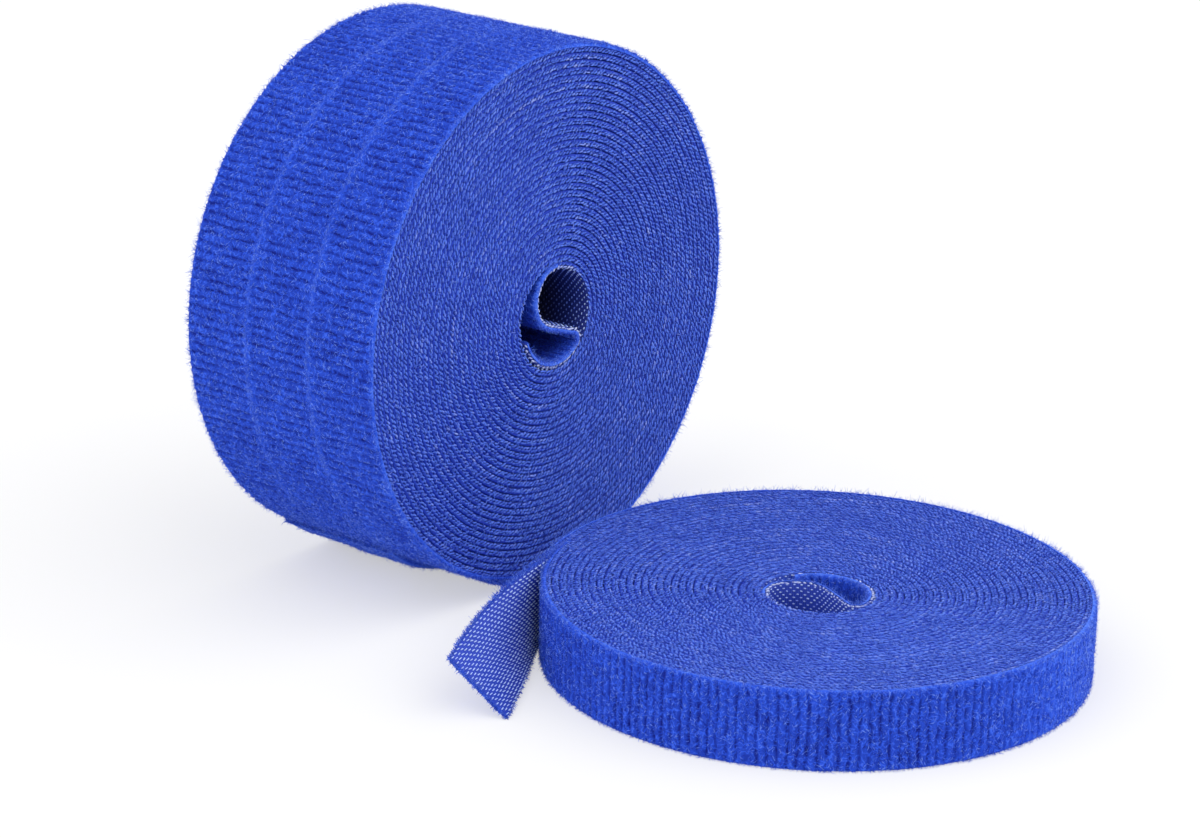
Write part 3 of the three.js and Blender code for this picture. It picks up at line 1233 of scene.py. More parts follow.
@dataclass(frozen=True)
class Selvedge:
    """Stitched edge of the tape: two rows of slanted stitches to a layer, with lint on them.

    Attributes:
        path: the tape.
        tape: its section.
        seed: seed of its random draws.
        spacing: distance between stitches of a row.
        slant: angle of a stitch to the tape.
        hook_stitch: half length, width and height of the hook web's stitches.
        loop_stitch: the same of the loop web's.
        loop_depth: depth of the loop web's row from the hook face.
        scatter: spread of a stitch's place along the tape, across its thickness and inward.
        slant_spread: spread of the slant.
        size_spread: smallest and largest share of a stitch's sizes.
        hook_tone: lowest and highest shade of the hook web's stitches.
        loop_tone: the same of the loop web's.
        arc_length: length of the stretches that are worn paler.
        worn_from: noise above which a stitch is worn.
        worn_tone: shade that wear adds.
        pale_tone: shade that the stitches in the eye add.
        pale_fade: length over which that ends.
        lint: loose fibres to a millimetre of tape.
        lint_start: distance of the first of them.
        lint_heading: spread of their angle to the way across the layers.
        lint_bow: height of their three points over the edge.
        lint_lift: lowest and highest shift of that height.
    """

    path: TapePath
    tape: Tape
    seed: int
    spacing: float = 0.87
    slant: float = 0.42
    hook_stitch: tuple[float, float, float] = (0.5, 0.21, 0.15)
    loop_stitch: tuple[float, float, float] = (0.47, 0.2, 0.14)
    loop_depth: float = 0.6
    scatter: tuple[float, float, float] = (0.08, 0.07, 0.07)
    slant_spread: float = 0.2
    size_spread: tuple[float, float] = (0.8, 1.15)
    hook_tone: tuple[float, float] = (0.3, 0.58)
    loop_tone: tuple[float, float] = (0.2, 0.5)
    arc_length: float = 22.0
    worn_from: float = 0.55
    worn_tone: float = 0.35
    pale_tone: float = 0.5
    pale_fade: float = 8.0
    lint: float = 1.4
    lint_start: float = 0.5
    lint_heading: float = 0.6
    lint_bow: tuple[float, float, float] = (-0.1, 0.06, -0.1)
    lint_lift: tuple[float, float] = (-0.06, 0.04)

    def stitches(self, edge: Edge, end: float, pale_until: float) -> Shape:
        """Stitches along one edge from the inner end of the tape.

        Args:
            edge: the edge.
            end: distance of the last stitch.
            pale_until: distance up to which they are the pale ones that show in the eye.

        Returns:
            Both rows.
        """
        draw = np.random.default_rng(self.seed + edge.value)
        distance = np.arange(self.spacing / 2, end, self.spacing)
        count = len(distance)
        worn = SmoothNoise(self.seed).at(distance / self.arc_length, np.zeros(count))
        pale = np.clip((pale_until - distance) / self.pale_fade, 0.0, 1.0)
        tone = draw.uniform(*self.hook_tone, count)
        tone = tone + self.worn_tone * np.clip(worn - self.worn_from, 0.0, 1.0) + self.pale_tone * pale
        hook = self._row(edge, draw, distance, self.tape.hook_web / 2, self.hook_stitch, tone)
        between = distance + self.spacing / 2
        dull = draw.uniform(*self.loop_tone, count)
        loop = self._row(edge, draw, between, self.loop_depth, self.loop_stitch, dull)
        return Shape.joined([hook, loop])

    def _row(self, edge: Edge, draw: np.random.Generator, distance: Array, depth: float,
             half: tuple[float, float, float], tone: Array) -> Shape:
        """One row of slanted stitches at a depth.

        Args:
            edge: the edge that they sit on.
            draw: random draws.
            distance: places along the tape.
            depth: depth from the hook face.
            half: half length, width and height of a stitch.
            tone: their shades.

        Returns:
            The row.
        """
        count = len(distance)
        place = distance + draw.normal(0.0, self.scatter[0], count)
        depths = depth + draw.normal(0.0, self.scatter[1], count)
        inward = np.abs(draw.normal(0.0, self.scatter[2], count))
        rise = edge.value * (self.tape.width / 2 - half[2] - inward)
        _, out, up = self.path.at(place)
        ahead = np.cross(up, out)
        slant = self.slant + draw.normal(0.0, self.slant_spread, count)
        along = np.cos(slant)[:, None] * ahead + np.sin(slant)[:, None] * out
        size = np.array(half) * draw.uniform(*self.size_spread, (count, 3))
        return beads(self.path.place(place, depths, rise), along, edge.value * up, size, tone)

    def loose_lint(self, edge: Edge, end: float, pitch: float) -> Shape:
        """Short loose fibres that lie every way on the wound edges.

        Args:
            edge: the edge.
            end: distance of the last fibres.
            pitch: distance between layers.

        Returns:
            The fibres.
        """
        draw = np.random.default_rng(self.seed + SeedStep.LINT + edge.value)
        make = Fibre.LINT.value
        count = int(end * self.lint)
        middle = draw.uniform(self.lint_start, end, (count, 1))
        depth = draw.uniform(0.0, pitch, (count, 1))
        heading = draw.normal(TURN / 4, self.lint_heading, (count, 1))
        length = make.lengths(draw, count)
        along = middle + length * SPAN * np.cos(heading)
        depth = depth + length * SPAN * np.sin(heading)
        height = self.tape.width / 2 + np.array([self.lint_bow])
        rise = edge.value * (height + draw.uniform(*self.lint_lift, (count, 1)))
        radius = make.radii(draw, count)
        tone = make.tones(draw, count)
        _, _, up = self.path.at(middle[:, 0])
        return threads(self.path.place(along, depth, rise), edge.value * up, radius, tone * make.glow)


@dataclass(frozen=True)
class HookRows:
    """Fine hooks of the hook face: staggered rows of pale bent tips.

    Attributes:
        path: the tape.
        rises: rises of the hook web's low and high edge.
        seed: seed of its random draws.
        column_spacing: distance between columns across the tape.
        row_spacing: distance between tips along a column.
        margin: distance from the outer columns to the web's edges.
        tip: half length, width and height of a tip.
        tones: lowest and highest shade of the tips.
        scatter: spread of their places along the tape.
        lean: middle and spread of their angle to the tape.
        size_spread: smallest and largest share of a tip's sizes.
        stand: height of their middles over the hook face.
    """

    path: TapePath
    rises: tuple[float, float]
    seed: int
    column_spacing: float = 0.54
    row_spacing: float = 1.34
    margin: float = 0.2
    tip: tuple[float, float, float] = (0.56, 0.12, 0.17)
    tones: tuple[float, float] = (0.95, 1.35)
    scatter: float = 0.02
    lean: tuple[float, float] = (0.08, 0.08)
    size_spread: tuple[float, float] = (0.85, 1.15)
    stand: float = 0.06

    def tips(self, start: float, end: float, light: Callable[[Array], Array]) -> Shape:
        """Hook tips on the hook face.

        Args:
            start: distance where they start.
            end: distance where they end.
            light: gives the share of the light that falls on them at rises across the tape.

        Returns:
            The tips.
        """
        draw = np.random.default_rng(self.seed)
        low, high = self.rises[0] + self.margin, self.rises[1] - self.margin
        columns = np.linspace(low, high, round((high - low) / self.column_spacing) + 1)
        rows = np.arange(start + self.row_spacing / 4, end, self.row_spacing)
        along, rise = np.meshgrid(rows, columns, indexing="ij")
        along = along + (np.arange(len(columns)) % 2) * self.row_spacing / 2
        along, rise = along[along < end], rise[along < end]
        count = len(along)
        along = along + draw.normal(0.0, self.scatter, count)
        _, out, up = self.path.at(along)
        ahead = np.cross(up, out)
        lean = draw.normal(*self.lean, count)
        way = unit(np.cos(lean)[:, None] * ahead + np.sin(lean)[:, None] * up)
        size = np.array(self.tip) * draw.uniform(*self.size_spread, (count, 3))
        middle = self.path.place(along, np.full(count, -self.stand), rise)
        return beads(middle, way, -out, size, draw.uniform(*self.tones, count) * light(rise))


@dataclass(frozen=True)
class EyeFold:
    """Inner end of the tape: it lies along the eye's wall, turns back across it and swings round a lobe.

    Attributes:
        spin: angle that the eye is turned by in its roll's plane.
        shift: the eye's centre from the roll's.
        cut_angle: angle of the tape's cut end, before the spin.
        radius: radius of the eye.
        lobe_radius: radius of the lobe that the tape swings round.
        turn_radius: radius of the tight turn back.
        first_angle: angle where the first layer starts, before the spin.
        turn_angle: angle where the tape leaves the wall.
        seat: gap between the inner end and the wall.
    """

    spin: float
    shift: tuple[float, float]
    cut_angle: float
    radius: float = 8.1
    lobe_radius: float = 4.6
    turn_radius: float = 1.9
    first_angle: float = math.radians(90)
    turn_angle: float = math.radians(227)
    seat: float = 0.15

    def stations(self, wall: float, spacing: float) -> tuple[Array, Array]:
        """Places and ways out of the inner end in the roll's plane, up to the first layer.

        Args:
            wall: radius of the eye's wall where the tape turns back.
            spacing: distance between stations.

        Returns:
            Places and ways out, each (n, 2).
        """
        seat = wall - self.seat
        turn = (seat - self.turn_radius) * self._ray(self.turn_angle)
        lobe = (self.radius - self.lobe_radius) * self._ray(self.first_angle)
        span = lobe - turn
        cross = math.asin((self.turn_radius + self.lobe_radius) / np.linalg.norm(span))
        heading = math.atan2(span[1], span[0]) - cross
        lobe_start = heading - TURN / 4
        turn_end = heading + TURN / 4
        runs = [
            self._arc(np.zeros(2), seat, self.cut_angle, self.turn_angle, spacing),
            self._arc(turn, self.turn_radius, self.turn_angle, turn_end, spacing),
            self._arc(lobe, self.lobe_radius, lobe_start, self.first_angle, spacing),
        ]
        spun = np.array([self._ray(self.spin), self._ray(self.spin + TURN / 4)])
        point = np.concatenate([run[0] for run in runs]) @ spun + self.shift
        return point, np.concatenate([run[1] for run in runs]) @ spun

    @staticmethod
    def _ray(angle: float) -> Array:
        """Unit vector at an angle."""
        return np.array([math.cos(angle), math.sin(angle)])

    def _arc(self, centre: Array, radius: float, start: float, end: float,
             spacing: float) -> tuple[Array, Array]:
        """Stations along an arc.

        Args:
            centre: its centre.
            radius: its radius.
            start: angle where it starts.
            end: angle where it ends.
            spacing: distance between stations.

        Returns:
            Places and ways out; the way out is inward where the arc runs clockwise.
        """
        steps = math.ceil(abs(end - start) * radius / spacing)
        rays = np.stack([self._ray(angle) for angle in np.linspace(start, end, steps + 1)])
        return centre + radius * rays, math.copysign(1, end - start) * rays


@dataclass(frozen=True)
class RollPlane:
    """Plane that a roll is wound in.

    Attributes:
        centre: point of the roll's axis at mid width.
        first: way at angle 0.
        second: way at a quarter turn.
        across: way along the axis, from the tape's low edge to its high one.
    """

    centre: Array
    first: Array
    second: Array
    across: Array

    def path(self, point: Array, out: Array, press: Array | float = 1.0) -> TapePath:
        """Tape path in this plane.

        Args:
            point: (n, 2) places.
            out: (n, 2) ways out.
            press: shares of the tape's full thickness.

        Returns:
            The path.
        """
        basis = np.stack([self.first, self.second])
        across = np.tile(self.across, (len(point), 1))
        return TapePath(self.centre + point @ basis, out @ basis, across, np.ones(len(point)) * press)


@dataclass
class TapeRoll:
    """One roll of tape, wound without a core, as far as the end of its last layer.

    Attributes:
        name: name of the roll, which is also its body's.
        plane: where it is wound.
        tape: section of its tape.
        eye: fold of its inner end.
        whole_layers: full layers.
        end_angle: angle in the plane where the last layer ends.
        reach: radius of the outermost layer, under its pile.
        open_edges: edges of the tape that nothing lies against.
        eye_fade: depth from an open edge over which the light in the eye falls off.
        eye_shade: shade painted on the hook web at an open edge of the eye, for the dark inside it.
        layer_shade: shade painted on the hook web between the layers, for the dark there.
        felted: length of its last layer where the pile is felted and painted lighter.
        lint: loose fibres to a millimetre of its edges.
        seed: seed of its random draws.
        fold_spacing: distance between stations in the fold.
        layer_spacing: distance between stations at radius 0, and its growth with the radius.
        loop_shade: shade of the loop web, painted dark for the shade between the rows of stitches.
        eye_rib_height: height of the ribs in the eye.
        eye_painted_light: how far light is painted on the pile in the eye, near its open edges.
        eye_pile_start: distance from the inner end to the first fibres in the eye.
        eye_hooks_start: distance from the inner end to the first hooks.
        pale_length: length past the fold where the selvedge is still pale.
        wound: angle that the layers are wound through.
        pitch: distance between layers.
        path: the whole tape, once it is wound.
        fold_end: distance along it where the fold ends.
        first_layer_end: distance where the first layer ends.
        coil_end: distance where the last layer ends.
    """

    name: str
    plane: RollPlane
    tape: Tape
    eye: EyeFold
    whole_layers: int
    end_angle: float
    reach: float
    open_edges: tuple[Edge, ...]
    eye_fade: float
    eye_shade: float
    layer_shade: float
    felted: float
    lint: float
    seed: int
    fold_spacing: float = 0.4
    layer_spacing: tuple[float, float] = (0.7, 0.025)
    loop_shade: float = 0.3
    eye_rib_height: float = 0.12
    eye_painted_light: float = 1.5
    eye_pile_start: float = 0.5
    eye_hooks_start: float = 0.3
    pale_length: float = 8.0
    wound: float = field(init=False)
    pitch: float = field(init=False)
    path: TapePath = field(init=False)
    fold_end: float = field(init=False)
    first_layer_end: float = field(init=False)
    coil_end: float = field(init=False)

    def __post_init__(self) -> None:
        """Works out the winding."""
        turned = self.end_angle - self.eye.spin - self.eye.first_angle
        self.wound = turned % TURN + TURN * self.whole_layers
        self.pitch = (self.reach - self.eye.radius) / (self.wound / TURN + 1)

    @property
    def pile_base(self) -> float:
        """Depth of the pile's floor, which the next layer rests on."""
        return self.pitch

    @property
    def felt_start(self) -> float:
        """Distance along the tape where its felted stretch, which is painted lighter, starts."""
        return self.coil_end - self.felted

    def radius(self, angle: Array) -> Array:
        """Radius of the hook face at angles wound from the first layer's start."""
        return self.eye.radius + self.pitch * angle / TURN

    def layer_stations(self, angle: Array) -> tuple[Array, Array]:
        """Stations of the layers, whose centre drifts from the eye's to the roll's.

        Args:
            angle: angles wound from the first layer's start.

        Returns:
            Places and ways out, each (n, 2).
        """
        drift = 1 - np.clip((angle - TURN) / (self.wound - TURN), 0.0, 1.0)
        turned = angle + self.eye.first_angle + self.eye.spin
        ray = np.stack([np.cos(turned), np.sin(turned)], -1)
        return self.radius(angle)[:, None] * ray + drift[:, None] * np.array(self.eye.shift), ray

    def wind(self, free_end: TapePath) -> None:
        """Winds the tape from its inner end.

        Args:
            free_end: path of its free end, past the last layer.
        """
        wall = self.radius(self.eye.turn_angle - self.eye.first_angle)
        fold = self.eye.stations(wall, self.fold_spacing)
        spacing, growth = self.layer_spacing
        angles = [0.0]
        while angles[-1] < self.wound:
            radius = self.radius(angles[-1])
            angles.append(angles[-1] + (spacing + growth * radius) / radius)
        angles[-1] = self.wound
        layers = self.layer_stations(np.array(angles[1:]))
        inner = self.plane.path(*fold)
        coil = self.plane.path(np.concatenate([fold[0], layers[0]]), np.concatenate([fold[1], layers[1]]))
        first = len(fold[0]) + int(np.searchsorted(angles, TURN))
        self.fold_end = inner.length[-1]
        self.first_layer_end = coil.length[first]
        self.coil_end = coil.length[-1]
        self.path = TapePath(
            np.concatenate([coil.point, free_end.point]),
            np.concatenate([coil.out, free_end.out]),
            np.concatenate([coil.up, free_end.up]),
            np.concatenate([coil.press, free_end.press]),
        )

    def eye_light(self, rise: Array) -> Array:
        """Light that reaches into the eye from its open edges.

        Args:
            rise: rises from mid width.

        Returns:
            Share of the light at each.
        """
        half = self.tape.width / 2
        shares = [np.exp((edge.value * rise - half) / self.eye_fade) for edge in self.open_edges]
        return np.max([0 * rise, *shares], axis=0)

    def shaded(self, shape: Shape) -> Shape:
        """Brings a shape's shades down by the light that reaches into the eye.

        Args:
            shape: a shape in the eye.

        Returns:
            The shaded shape.
        """
        rise = (shape.points - self.plane.centre) @ self.plane.across
        marks = {"shade": shape.marks["shade"] * self.eye_light(rise)}
        return Shape(shape.points, shape.faces, shape.corners, marks)

    def dress(self) -> dict[str, bpy.types.Object]:
        """Makes the roll's pieces, which ride on its body.

        Returns:
            The pieces by their short names.
        """
        path, half = self.path, self.tape.width / 2
        outer = self.coil_end - TURN * (self.reach - self.pitch)
        coil = path.length[path.length <= self.coil_end]
        nap = Nap(path, half, self.pile_base, self.seed, self.open_edges, self.felt_start)
        eye_nap = Nap(path, half, self.tape.thickness, self.seed + SeedStep.EYE_NAP, self.open_edges,
                      rib_height=self.eye_rib_height)
        # Light is painted on the pile in the eye, falling off from its open edges.
        eye_painted_light = self.eye_painted_light * self.eye_light(eye_nap.rises())
        eye_fibres = Shape.joined([
            eye_nap.strands(self.eye_pile_start, self.fold_end, Pile.EYE.value),
            eye_nap.fuzz(self.eye_pile_start, self.fold_end, Pile.EYE.value),
        ])
        rows = HookRows(path, self.tape.web_rises, self.seed + SeedStep.EYE_HOOKS, row_spacing=1.15,
                        tip=(0.22, 0.12, 0.15), tones=(0.8, 1.3))
        hooks = rows.tips(self.eye_hooks_start, self.first_layer_end, self.eye_light)
        # The hook web is painted dark in the eye, fading in from its open edges, and painted shade between
        # the layers.
        eye_shade = tuple(self.eye_shade * self.eye_light(np.array([-half, half])))
        layer_shade = (self.layer_shade, self.layer_shade)
        hook_web = Shape.joined([
            self.tape.hook_strip(path, coil[coil <= self.first_layer_end], eye_shade),
            self.tape.hook_strip(path, coil[coil >= self.first_layer_end], layer_shade),
        ])
        inside = coil[(coil > self.fold_end) & (coil < outer)]
        packed = self.tape.packed_pile(path, inside, self.pitch + self.tape.hook_web / 2)
        pile = Pile.COIL.value
        shapes = {
            "hook_web": (hook_web, Finish.WEAVE, "hook_web"),
            "loop_web": (self.tape.loop_strip(path, coil, self.loop_shade), Finish.EDGE, "loop_web"),
            "packed_pile": (packed, Finish.NAP, "loop_web"),
            "outer_nap": (nap.ground(outer, self.coil_end), Finish.NAP, "loop_web"),
            "outer_strands": (nap.strands(outer, self.coil_end, pile), Finish.STRAND, "loop_web"),
            "outer_fuzz": (nap.fuzz(outer, self.coil_end, pile), Finish.STRAND, "loop_web"),
            "eye_hooks": (hooks, Finish.HOOK, "hook_web"),
            "eye_nap": (eye_nap.ground(0.0, self.fold_end, eye_painted_light), Finish.NAP, "loop_web"),
            "eye_fibres": (self.shaded(eye_fibres), Finish.STRAND, "loop_web"),
        }
        selvedge = Selvedge(path, self.tape, self.seed + SeedStep.SELVEDGE, lint=self.lint)
        for edge in self.open_edges:
            side = edge.name.lower()
            stitches = selvedge.stitches(edge, self.coil_end, self.fold_end + self.pale_length)
            lint = selvedge.loose_lint(edge, self.coil_end, self.pitch)
            shapes[f"{side}_selvedge"] = (stitches, Finish.STITCH, "wound_tape")
            shapes[f"{side}_lint"] = (lint, Finish.STITCH, "wound_tape")
        made = {}
        for piece, (shape, finish, slot) in shapes.items():
            made[piece] = shape.grounded().build(f"{self.name}_{piece}", finish, slot)
            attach(made[piece], self.name)
        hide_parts(f"{self.name}_coil", f"{self.name}_eye_fold_hook_web")
        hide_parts(f"{self.name}_eye_fold_loop_web")
        return made


@dataclass(frozen=True)
class Stretch:
    """A length of a free end between two bodies.

    Attributes:
        name: short name of the stretch.
        span: distances from the end of the last layer, where it starts and ends.
        bodies: body that it leaves and body that it follows; not used.
        bend: distances of its bend from one body to the other, which are only looked up as places.
        nodes: hook web and loop web nodes that it stands for.
    """

    name: str
    span: tuple[float, float]
    bodies: tuple[str, str]
    bend: tuple[float, float]
    nodes: tuple[str, str]


@dataclass
class FreeEnd:
    """Outer end of a roll's tape, past its last layer.

    Attributes:
        roll: the roll that it belongs to.
        stretches: its lengths, one to each joint along it.
        cut_fray: loose fibres to a millimetre of its cut edge.
        side_fray: loose fibres to a millimetre of its side edges.
        bare: length at the cut that has lost its hooks.
        margin: how far the pile stays back from the edges.
        spacing: distance between stations of its webs.
        hook_shade: shade of its hook web.
        loop_shade: shade of its loop web.
        cut_band: length at the cut where fibres come loose.
        cut_skew: beta distribution of their places in that length.
        fray_depth: how far loose fibres reach past the hook face and past the pile's floor.
        fray_stray: spread of their way ahead, up and out.
        fray_curl: how far they curl.
    """

    roll: TapeRoll
    stretches: list[Stretch]
    cut_fray: float = 45.0
    side_fray: float = 22.0
    bare: float = 0.3
    margin: float = 0.45
    spacing: float = 0.5
    hook_shade: float = 1.0
    loop_shade: float = 0.4
    cut_band: float = 0.7
    cut_skew: tuple[float, float] = (1.0, 2.0)
    fray_depth: tuple[float, float] = (0.05, 0.2)
    fray_stray: tuple[float, float, float] = (0.5, 0.5, 0.6)
    fray_curl: float = 0.25

    def dress(self) -> list[bpy.types.Object]:
        """Makes the pieces of each stretch."""
        return [piece for stretch in self.stretches for piece in self._dress_stretch(stretch)]

    def _dress_stretch(self, stretch: Stretch) -> list[bpy.types.Object]:
        """Makes the pieces of one stretch.

        Args:
            stretch: the stretch.

        Returns:
            The pieces.
        """
        roll, path, tape = self.roll, self.roll.path, self.roll.tape
        start, end = (roll.coil_end + distance for distance in stretch.span)
        is_last = stretch is self.stretches[-1]
        half = tape.width / 2 - self.margin
        nap = Nap(path, half, roll.pile_base, roll.seed, roll.open_edges, roll.felt_start)
        pile = Pile.END.value
        fibres = [nap.strands(start, end, pile), nap.fuzz(start, end, pile)]
        fibres += [self._side_fray(start, end, edge) for edge in roll.open_edges]
        rows = HookRows(path, tape.web_rises, roll.seed + SeedStep.END_HOOKS)
        hooks = rows.tips(start, end - self.bare * is_last, np.ones_like)
        if is_last:
            fibres.append(self._cut_fray(end))
        distance = path.stations(start, end, self.spacing)
        hook_web = tape.hook_strip(path, distance, (self.hook_shade, self.hook_shade))
        shapes = {
            "hook_web": (hook_web, Finish.WEAVE, "hook_web"),
            "loop_web": (tape.loop_strip(path, distance, self.loop_shade), Finish.NAP, "loop_web"),
            "nap": (nap.ground(start, end - self.bare / 2 * is_last), Finish.NAP, "loop_web"),
            "fibres": (Shape.joined(fibres), Finish.STRAND, "loop_web"),
            "hooks": (hooks, Finish.HOOK, "hook_web"),
        }
        pieces = {}
        bend = [path.point_m(roll.coil_end + place) for place in stretch.bend]
        for piece, (shape, finish, slot) in shapes.items():
            pieces[piece] = shape.grounded().build(f"{roll.name}_{stretch.name}_{piece}", finish, slot)
            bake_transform(pieces[piece])
        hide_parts(stretch.nodes[0])
        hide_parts(stretch.nodes[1])
        return list(pieces.values())

    def _cut_fray(self, end: float) -> Shape:
        """Loose fibres along the cut.

        Args:
            end: distance of the cut along the tape.

        Returns:
            The fibres.
        """
        draw = np.random.default_rng(self.roll.seed + SeedStep.CUT_FRAY)
        count = int(self.cut_fray * self.roll.tape.width)
        rise = draw.uniform(-1, 1, count) * self.roll.tape.width / 2
        distance = end - self.cut_band * draw.beta(*self.cut_skew, count)
        return self._fray(draw, distance, rise, (1.0, 0.0))

    def _side_fray(self, start: float, end: float, edge: Edge) -> Shape:
        """Loose fibres along an edge.

        Args:
            start: distance along the tape where they start.
            end: distance where they end.
            edge: the edge.

        Returns:
            The fibres.
        """
        draw = np.random.default_rng(self.roll.seed + SeedStep.SIDE_FRAY + edge.value)
        count = int(self.side_fray * (end - start))
        rise = np.full(count, edge.value * self.roll.tape.web_half)
        return self._fray(draw, draw.uniform(start, end, count), rise, (0.0, edge.value))

    def _fray(self, draw: np.random.Generator, distance: Array, rise: Array,
              way: tuple[float, float]) -> Shape:
        """Loose fibres that stand out of the tape's rim.

        Args:
            draw: random draws.
            distance: distances of their roots along the tape.
            rise: rises of their roots.
            way: shares of the way ahead and the way up in the way that they stand out.

        Returns:
            The fibres.
        """
        make = Fibre.FRAY.value
        count = len(distance)
        below, above = self.fray_depth
        depth = draw.uniform(-below, self.roll.pile_base + above, count)
        root = self.roll.path.place(distance, depth, rise)
        _, out, up = self.roll.path.at(distance)
        ahead = np.cross(up, out)
        stray = draw.normal(0.0, self.fray_stray, (count, 3))
        heading = unit((way[0] + stray[:, :1]) * ahead + (way[1] + stray[:, 1:2]) * up + stray[:, 2:] * out)
        length = make.lengths(draw, count)
        curl = length * draw.normal(0.0, 1.0, (count, 1)) * out
        share = ROOTED[:, :, None]
        line = root[:, None, :] + (length * heading)[:, None, :] * share
        line = line + self.fray_curl * curl[:, None, :] * share * share
        radius = make.radii(draw, count)
        return threads(line, out, radius, make.tones(draw, count) * make.glow)


def toward(plan: float, height: float) -> Vector:
    """Unit vector at a plan angle from +X and an angle above the horizon."""
    level = math.cos(height)
    return Vector((math.cos(plan) * level, math.sin(plan) * level, math.sin(height)))


@dataclass(frozen=True)
class Studio:
    """Pale floor, soft lamps and the photograph's camera.

    Attributes:
        camera_place: the camera in the row frame.
        heading: plan angle that it looks along, from +X towards +Y.
        pitch: angle that it looks down by.
        roll: angle that it leans by.
        lens: focal length over a full frame of sensor_width.
        sensor_width: width of that frame.
        near_clip: nearest distance that it shows.
        floor_size: side of the floor.
        floor_colour: colour of the floor in the lamps' light.
        floor_glow: share of plain white in the floor as the camera shows it.
        ambient: strength of the light from all around.
    """

    camera_place: tuple[float, float, float] = (-454.4, -341.26, 228.0)
    heading: float = math.radians(38.08)
    pitch: float = math.radians(18.766)
    roll: float = math.radians(1.508)
    lens: float = 115.6
    sensor_width: float = 36.0
    near_clip: float = 10.0
    floor_size: float = 8000.0
    floor_colour: Colour = (0.93, 0.93, 0.93)
    floor_glow: float = 0.5
    ambient: float = 0.68

    def build(self) -> None:
        """Makes the floor, the lamps, the world and the camera."""
        self._floor()
        self._world()
        self._lamp("left", azimuth=165, elevation=40, strength=1.05, spread=70)
        self._lamp("right", azimuth=275, elevation=48, strength=0.95, spread=70)
        self._lamp("far_right", azimuth=335, elevation=28, strength=0.5, spread=60)
        self._camera()
        bpy.context.scene.view_settings.view_transform = "Standard"

    @staticmethod
    def _seen(paint: Paint) -> Value:
        """Tells the rays that end in the picture from those that only light the set.

        Args:
            paint: the node tree that asks.

        Returns:
            1 for a ray from the camera, direct, mirrored or through glass, and 0 for others.
        """
        rays = paint.node("ShaderNodeLightPath", {}, {}).outputs
        direct, mirrored = Value(paint, rays["Is Camera Ray"]), Value(paint, rays["Is Glossy Ray"])
        return direct + mirrored + Value(paint, rays["Is Transmission Ray"])

    def _floor(self) -> None:
        """Plain floor under the set."""
        half = self.floor_size * MM / 2
        mesh = bpy.data.meshes.new("floor")
        corners = [(-half, -half, 0), (half, -half, 0), (half, half, 0), (-half, half, 0)]
        mesh.from_pydata(corners, [], [(0, 1, 2, 3)])
        material = bpy.data.materials.new("floor")
        paint = Paint(material)
        glow = self._seen(paint) * self.floor_glow
        cloth = paint.node("ShaderNodeBsdfDiffuse", {}, {"Color": self.floor_colour})
        white = paint.node("ShaderNodeEmission", {}, {"Color": (1.0, 1.0, 1.0), "Strength": 1.0})
        mixed = paint.node("ShaderNodeMixShader", {}, {0: glow, 1: cloth.outputs[0], 2: white.outputs[0]})
        paint.node("ShaderNodeOutputMaterial", {}, {"Surface": mixed.outputs[0]})
        mesh.materials.append(material)
        floor = bpy.data.objects.new("floor", mesh)
        bpy.context.scene.collection.objects.link(floor)

    def _world(self) -> None:
        """Even surroundings, which look white."""
        world = bpy.data.worlds.new("studio")
        paint = Paint(world)
        strength = self._seen(paint) * (1 - self.ambient) + self.ambient
        shader = paint.node("ShaderNodeBackground", {}, {"Color": (1.0, 1.0, 1.0), "Strength": strength})
        paint.node("ShaderNodeOutputWorld", {}, {"Surface": shader.outputs["Background"]})
        bpy.context.scene.world = world

    @staticmethod
    def _lamp(name: str, azimuth: float, elevation: float, strength: float, spread: float) -> None:
        """Soft far lamp.

        Args:
            name: name of the lamp.
            azimuth: plan angle of the side that it stands on, in degrees from +X.
            elevation: its height above the horizon, in degrees.
            strength: light that falls on a surface square to it.
            spread: its apparent size, in degrees.
        """
        lamp = bpy.data.lights.new(name, "SUN")
        lamp.energy = strength
        lamp.angle = math.radians(spread)
        made = bpy.data.objects.new(name, lamp)
        away = toward(math.radians(azimuth), math.radians(elevation))
        made.rotation_euler = away.to_track_quat("Z", "Y").to_euler()
        bpy.context.scene.collection.objects.link(made)

    def _camera(self) -> None:
        """Camera at the photograph's place and angle."""
        ahead = toward(self.heading, -self.pitch)
        level = ahead.cross(Vector((0, 0, 1))).normalized()
        above = level.cross(ahead)
        right = level * math.cos(self.roll) + above * math.sin(self.roll)
        top = above * math.cos(self.roll) - level * math.sin(self.roll)
        data = bpy.data.cameras.new("photo")
        data.lens = self.lens
        data.sensor_width = self.sensor_width
        data.clip_start = self.near_clip * MM
        camera = bpy.data.objects.new("photo", data)
        turn = Matrix((right, top, -ahead)).transposed().to_4x4()
        camera.matrix_world = Matrix.Translation(Vector(self.camera_place) * MM) @ turn
        bpy.context.scene.collection.objects.link(camera)
        bpy.context.scene.camera = camera


